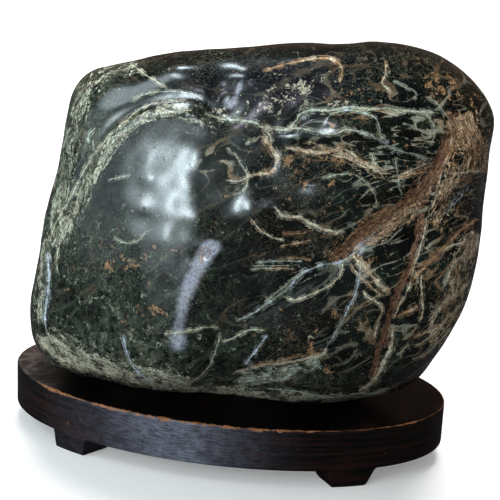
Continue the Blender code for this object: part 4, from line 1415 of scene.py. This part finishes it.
# %% The stone's whole finish
def stone_finish():
    """The ground first, then each coat of markings over it, and a clear gloss over them all."""
    finish, tree, shader = new_finish("polished_stone")
    place = put(tree, "TexCoord").outputs["Object"]
    parts = put(tree, "SeparateXYZ")
    feed(tree, parts.inputs[0], place)
    depth = times(tree, parts.outputs[1], 1000.0)
    cloud = noise(tree, place, 30.0, 3.0, 0.55)
    mottle = noise(tree, place, 150.0, 6.0, 0.68, 0.5)
    crumbs = between(tree, noise(tree, place, 520.0, 3.0, 0.7), 0.42, 0.56, 0.12, 1.1)
    shade = ground_colour(tree, place, cloud, mottle)
    shade = add_islands(tree, place, depth, cloud, mottle, shade)
    shade = add_lace(tree, place, cloud, mottle, crumbs, shade)
    shade = add_flow(tree, depth, cloud, crumbs, shade)
    shade = add_specks(tree, place, shade)
    shade, band = add_bands(tree, place, depth, shade)
    shade, vein = add_veins(tree, place, shade)
    grain = noise(tree, place, 900.0, 2.0, 0.6)
    shade = dimmed(tree, shade, between(tree, grain, 0.3, 0.7, 0.65, 1.35))
    feed(tree, shader.inputs["Base Color"], shade)
    rough = times_plus(tree, band, 0.14, between(tree, mottle, 0.35, 0.7, 0.30, 0.40))
    feed(tree, shader.inputs["Roughness"], rough)
    shader.inputs["Coat Roughness"].default_value = 0.20
    shader.inputs["Specular IOR Level"].default_value = 0.06
    pits = between(tree, noise(tree, place, 420.0, 3.0, 0.6), 0.64, 0.74)
    gloss = times_plus(tree, band, -0.5, 1.0)
    whole = maths(tree, "SUBTRACT", 1.0, pits)
    feed(tree, shader.inputs["Coat Weight"], times(tree, gloss, whole))
    height = times_plus(tree, vein, 0.25, times(tree, pits, -1.0))
    bumped(tree, shader, times_plus(tree, mottle, 0.5, height), 0.00012)
    return finish


stone.data.materials.append(stone_finish())
print("stone finished:", len(stone.data.materials[0].node_tree.nodes), "nodes")

# %% [markdown]
# ### The stand's lacquer
#
# The wood is dark, with its grain running the long way, under a nearly black lacquer with
# warmer streaks along the grain.  Where it is rubbed, the bare wood shows as a broken orange
# line.  Fine scratches haze the wall left of its middle under a bluish painted sheen, the
# lacquer's mirrored light painted into its colour, and dust and a painted sheen lighten the
# left end of the top.

# %% The stand's finish
BLACK_LACQUER = colour(0.0026, 0.0016, 0.0015)
WARM_LACQUER = colour(0.024, 0.0085, 0.0050)
BARE_WOOD, RUBBED_WOOD = colour(0.50, 0.20, 0.075), colour(0.16, 0.055, 0.022)
# The haze is scratches with a painted bluish sheen; the top's is dust with a painted sheen.
SCRATCH_HAZE_AND_SHEEN, TOP_DUST_AND_SHEEN = colour(0.27, 0.28, 0.36), colour(0.110, 0.085, 0.076)


def wood_finish():
    """Grained lacquer, then scratch haze with a painted sheen, then the bare wood along the upper edge."""
    finish, tree, shader = new_finish("lacquered_wood")
    place = put(tree, "TexCoord").outputs["Object"]
    parts = put(tree, "SeparateXYZ")
    feed(tree, parts.inputs[0], place)
    x, y, z = (times(tree, part, 1000.0) for part in parts.outputs)
    edge_way, wear, haze_and_sheen, top = kept(tree, "wear")
    grain = use(tree, FIBRES, Along=x, Across=z, Depth=y, Length=22.0, Width=0.8)
    shade = blend(tree, between(tree, grain["Coarse"], 0.42, 0.62), BLACK_LACQUER, WARM_LACQUER)
    scratches = use(tree, FIBRES, Along=x, Across=z, Depth=y, Length=5.0, Width=0.35)
    scuffs = noise(tree, place, 160.0, 5.0, 0.7)
    # Scratch haze and a painted sheen, the lacquer's mirrored light painted into its colour.
    haze_and_sheen_share = times_plus(tree, scuffs, 0.45, times(tree, scratches["Fine"], 0.75))
    haze_and_sheen_share = times(tree, between(tree, haze_and_sheen_share, 0.50, 0.72, 0.30, 1.0), haze_and_sheen)
    shade = blend(tree, times(tree, haze_and_sheen_share, 0.9), shade, blend(tree, top, SCRATCH_HAZE_AND_SHEEN, TOP_DUST_AND_SHEEN))
    amount = between(tree, noise(tree, place, 120.0, 3.0, 0.6), 0.32, 0.60, 0.30, 1.0)
    half = times(tree, times(tree, amount, wear), 2.0)
    gap = maths(tree, "ABSOLUTE", edge_way)
    rubbed = use(tree, RAGGED_LINE, Place=place, Signed=edge_way, Gap=gap, Half=half, Rag=0.6)["Line"]
    spots = use(tree, SPECKS, Place=place, Size=1.2, Density=times(tree, wear, 0.12))["Spots"]
    bare = maths(tree, "MAXIMUM", rubbed, times(tree, spots, 0.25))
    shade = blend(tree, bare, shade, blend(tree, between(tree, scuffs, 0.34, 0.54), RUBBED_WOOD, BARE_WOOD))
    feed(tree, shader.inputs["Base Color"], shade)
    rough = times_plus(tree, haze_and_sheen_share, 0.2, 0.36)
    feed(tree, shader.inputs["Roughness"], times_plus(tree, bare, 0.2, rough))
    shader.inputs["Specular IOR Level"].default_value = 0.25
    bumped(tree, shader, times_plus(tree, bare, -0.6, grain["Fine"]), 0.00015)
    return finish


wood_stand.data.materials.append(wood_finish())
print("stand finished:", len(wood_stand.data.materials[0].node_tree.nodes), "nodes")

# %% [markdown]
# ## The studio
#
# A polished stone shows its lights more than its own colours, so the lights are placed by where
# they have to appear in it.  Two ovals, one inside the other, make the soft window in the belly,
# with a small bright pane at its left and a tall one at its right, which also gives the spot on
# the boss.  A low glow lies under them.  The overhead pane, the high pane and the small lavender
# one give the spots along the top.  A dim wall at the left gives the green-grey veil, and a high
# light above it lifts the arch and the left shoulder.
#
# The panes and the low glow show only in the gloss, so they don't light the stone unevenly.  A
# broad sun, high and a little behind, whitens the floor and isn't mirrored.  The floor glows a
# little of itself where the eye sees it, and the stone mirrors both it and the sky dark.

# %% The floor, the lights and the camera
FLOOR_SIZE = 8.0
FLOOR_SHADE, MIRRORED_SHADE = colour(0.94, 0.92, 0.90), colour(0.04, 0.04, 0.04)
FLOOR_GLOW = 0.22
SKY_SHADE = 0.35
MIRRORED_FRONT, MIRRORED_BACK = colour(0.02, 0.02, 0.02), colour(0.09, 0.065, 0.05)
# A light is (place from the heart in the face frame, width, height, turn in degrees, radiance,
# colour, whether it only shows in the gloss), in metres.
COOL, LAVENDER = (0.78, 0.93, 1.0), (0.84, 0.82, 1.0)
LIGHTS = {
    "window": ((-0.63, 0.09, 0.88), 0.66, 0.50, 0, 3.7, COOL, False),
    "window_heart": ((-0.60, 0.09, 0.90), 0.36, 0.32, 0, 2.4, COOL, False),
    "left_pane": ((-0.70, 0.105, 0.82), 0.10, 0.09, 0, 70.0, COOL, True),
    "right_pane": ((-0.49, 0.01, 0.96), 0.058, 0.36, 14, 60.0, COOL, True),
    "low_glow": ((-0.54, -0.30, 0.84), 0.36, 0.50, 0, 1.6, COOL, True),
    "small_pane": ((-0.35, 0.45, 0.93), 0.07, 0.08, 0, 34.0, LAVENDER, True),
    "high_pane": ((-0.545, 0.76, 0.53), 0.34, 0.12, 0, 26.0, COOL, True),
    "left_wall": ((-1.00, 0.20, 0.45), 1.20, 0.90, 0, 1.1, COOL, False),
    "high_left": ((-0.76, 0.70, 0.36), 0.40, 0.36, 0, 6.0, COOL, False),
    "overhead": ((-0.35, 1.03, 0.15), 0.15, 0.15, 0, 46.0, COOL, True),
}
SUN_HEIGHT = math.radians(68)
SUN_STRENGTH = 2.9
SUN_ANGLE = math.radians(30)
SKY_TURNS_BROWN = (-0.2, 0.5)
SENSOR_WIDTH = 36.0
LENS = 108.0


def make_floor():
    """A pale plane that glows a little; the stone mirrors it darker than the eye sees it."""
    half = FLOOR_SIZE / 2
    corners = [(-half, -half, 0), (half, -half, 0), (half, half, 0), (-half, half, 0)]
    floor = piece_from("floor", np.array(corners), [[0, 1, 2, 3]])
    finish, tree, shader = new_finish("pale_floor")
    shader.inputs["Roughness"].default_value = 1.0
    shader.inputs["Specular IOR Level"].default_value = 0.0
    shader.inputs["Emission Color"].default_value = colour(1.0, 1.0, 1.0)
    seen = put(tree, "LightPath").outputs["Is Camera Ray"]
    feed(tree, shader.inputs["Emission Strength"], times(tree, seen, FLOOR_GLOW))
    feed(tree, shader.inputs["Base Color"], blend(tree, seen, MIRRORED_SHADE, FLOOR_SHADE))
    floor.data.materials.append(finish)


make_floor()
print("floor:", FLOOR_SIZE, "m a side")

# %% The lights
def place_light(name, lamp, place, turn=0.0):
    """Puts a lamp at a place from the heart, facing it and turned about that line; unseen itself."""
    item = bpy.data.objects.new(name, lamp)
    facing = Vector(place).to_track_quat("Z", "Y")
    item.location = HEART + place
    item.rotation_euler = (facing @ Quaternion((0.0, 0.0, 1.0), math.radians(turn))).to_euler()
    item.visible_camera = False
    bpy.context.scene.collection.objects.link(item)
    return item


def make_window(name, place, width, height, turn, radiance, shade, gloss_only):
    """An oval of even radiance: its power is pi * area * radiance."""
    lamp = bpy.data.lights.new(name, "AREA")
    lamp.shape = "ELLIPSE"
    lamp.size, lamp.size_y = width, height
    lamp.energy = math.pi ** 2 / 4 * width * height * radiance
    lamp.color = shade
    item = place_light(name, lamp, np.array(place) @ AXES, turn)
    item.visible_diffuse = not gloss_only


def make_sun():
    """A broad sun for the floor, which the gloss doesn't show."""
    lamp = bpy.data.lights.new("sun", "SUN")
    lamp.energy = SUN_STRENGTH
    lamp.angle = SUN_ANGLE
    item = place_light("sun", lamp, np.array([0.0, math.cos(SUN_HEIGHT), math.sin(SUN_HEIGHT)]))
    item.visible_glossy = False


for name, light in LIGHTS.items():
    make_window(name, *light)
make_sun()
print(len(LIGHTS), "soft lights and a sun:", ", ".join(LIGHTS))

# %% The sky and the camera
def make_sky():
    """An even sky that lights the scene softly; the gloss mirrors it dark, and brown from behind."""
    sky = bpy.data.worlds.new("sky")
    sky.use_nodes = True
    tree = sky.node_tree
    mirrored = put(tree, "LightPath").outputs["Is Glossy Ray"]
    way = put(tree, "SeparateXYZ")
    feed(tree, way.inputs[0], put(tree, "TexCoord").outputs["Generated"])
    dim = blend(tree, between(tree, way.outputs[1], *SKY_TURNS_BROWN), MIRRORED_FRONT, MIRRORED_BACK)
    shade = blend(tree, mirrored, colour(SKY_SHADE, SKY_SHADE, SKY_SHADE), dim)
    feed(tree, tree.nodes["Background"].inputs["Color"], shade)
    bpy.context.scene.world = sky


def make_camera():
    """A long lens at the eye's place, with the face frame's axes as its right, up and back."""
    lens = bpy.data.cameras.new("eye")
    lens.sensor_width = SENSOR_WIDTH
    lens.lens = LENS
    item = bpy.data.objects.new("eye", lens)
    rows = [[*AXES[:, row], EYE_PLACE[row]] for row in range(3)]
    item.matrix_world = Matrix([*rows, [0.0, 0.0, 0.0, 1.0]])
    bpy.context.scene.collection.objects.link(item)
    bpy.context.scene.camera = item


make_camera()
make_sky()
bpy.context.scene.view_settings.view_transform = "Standard"
print("studio ready: a sky and a lens of", LENS, "mm")
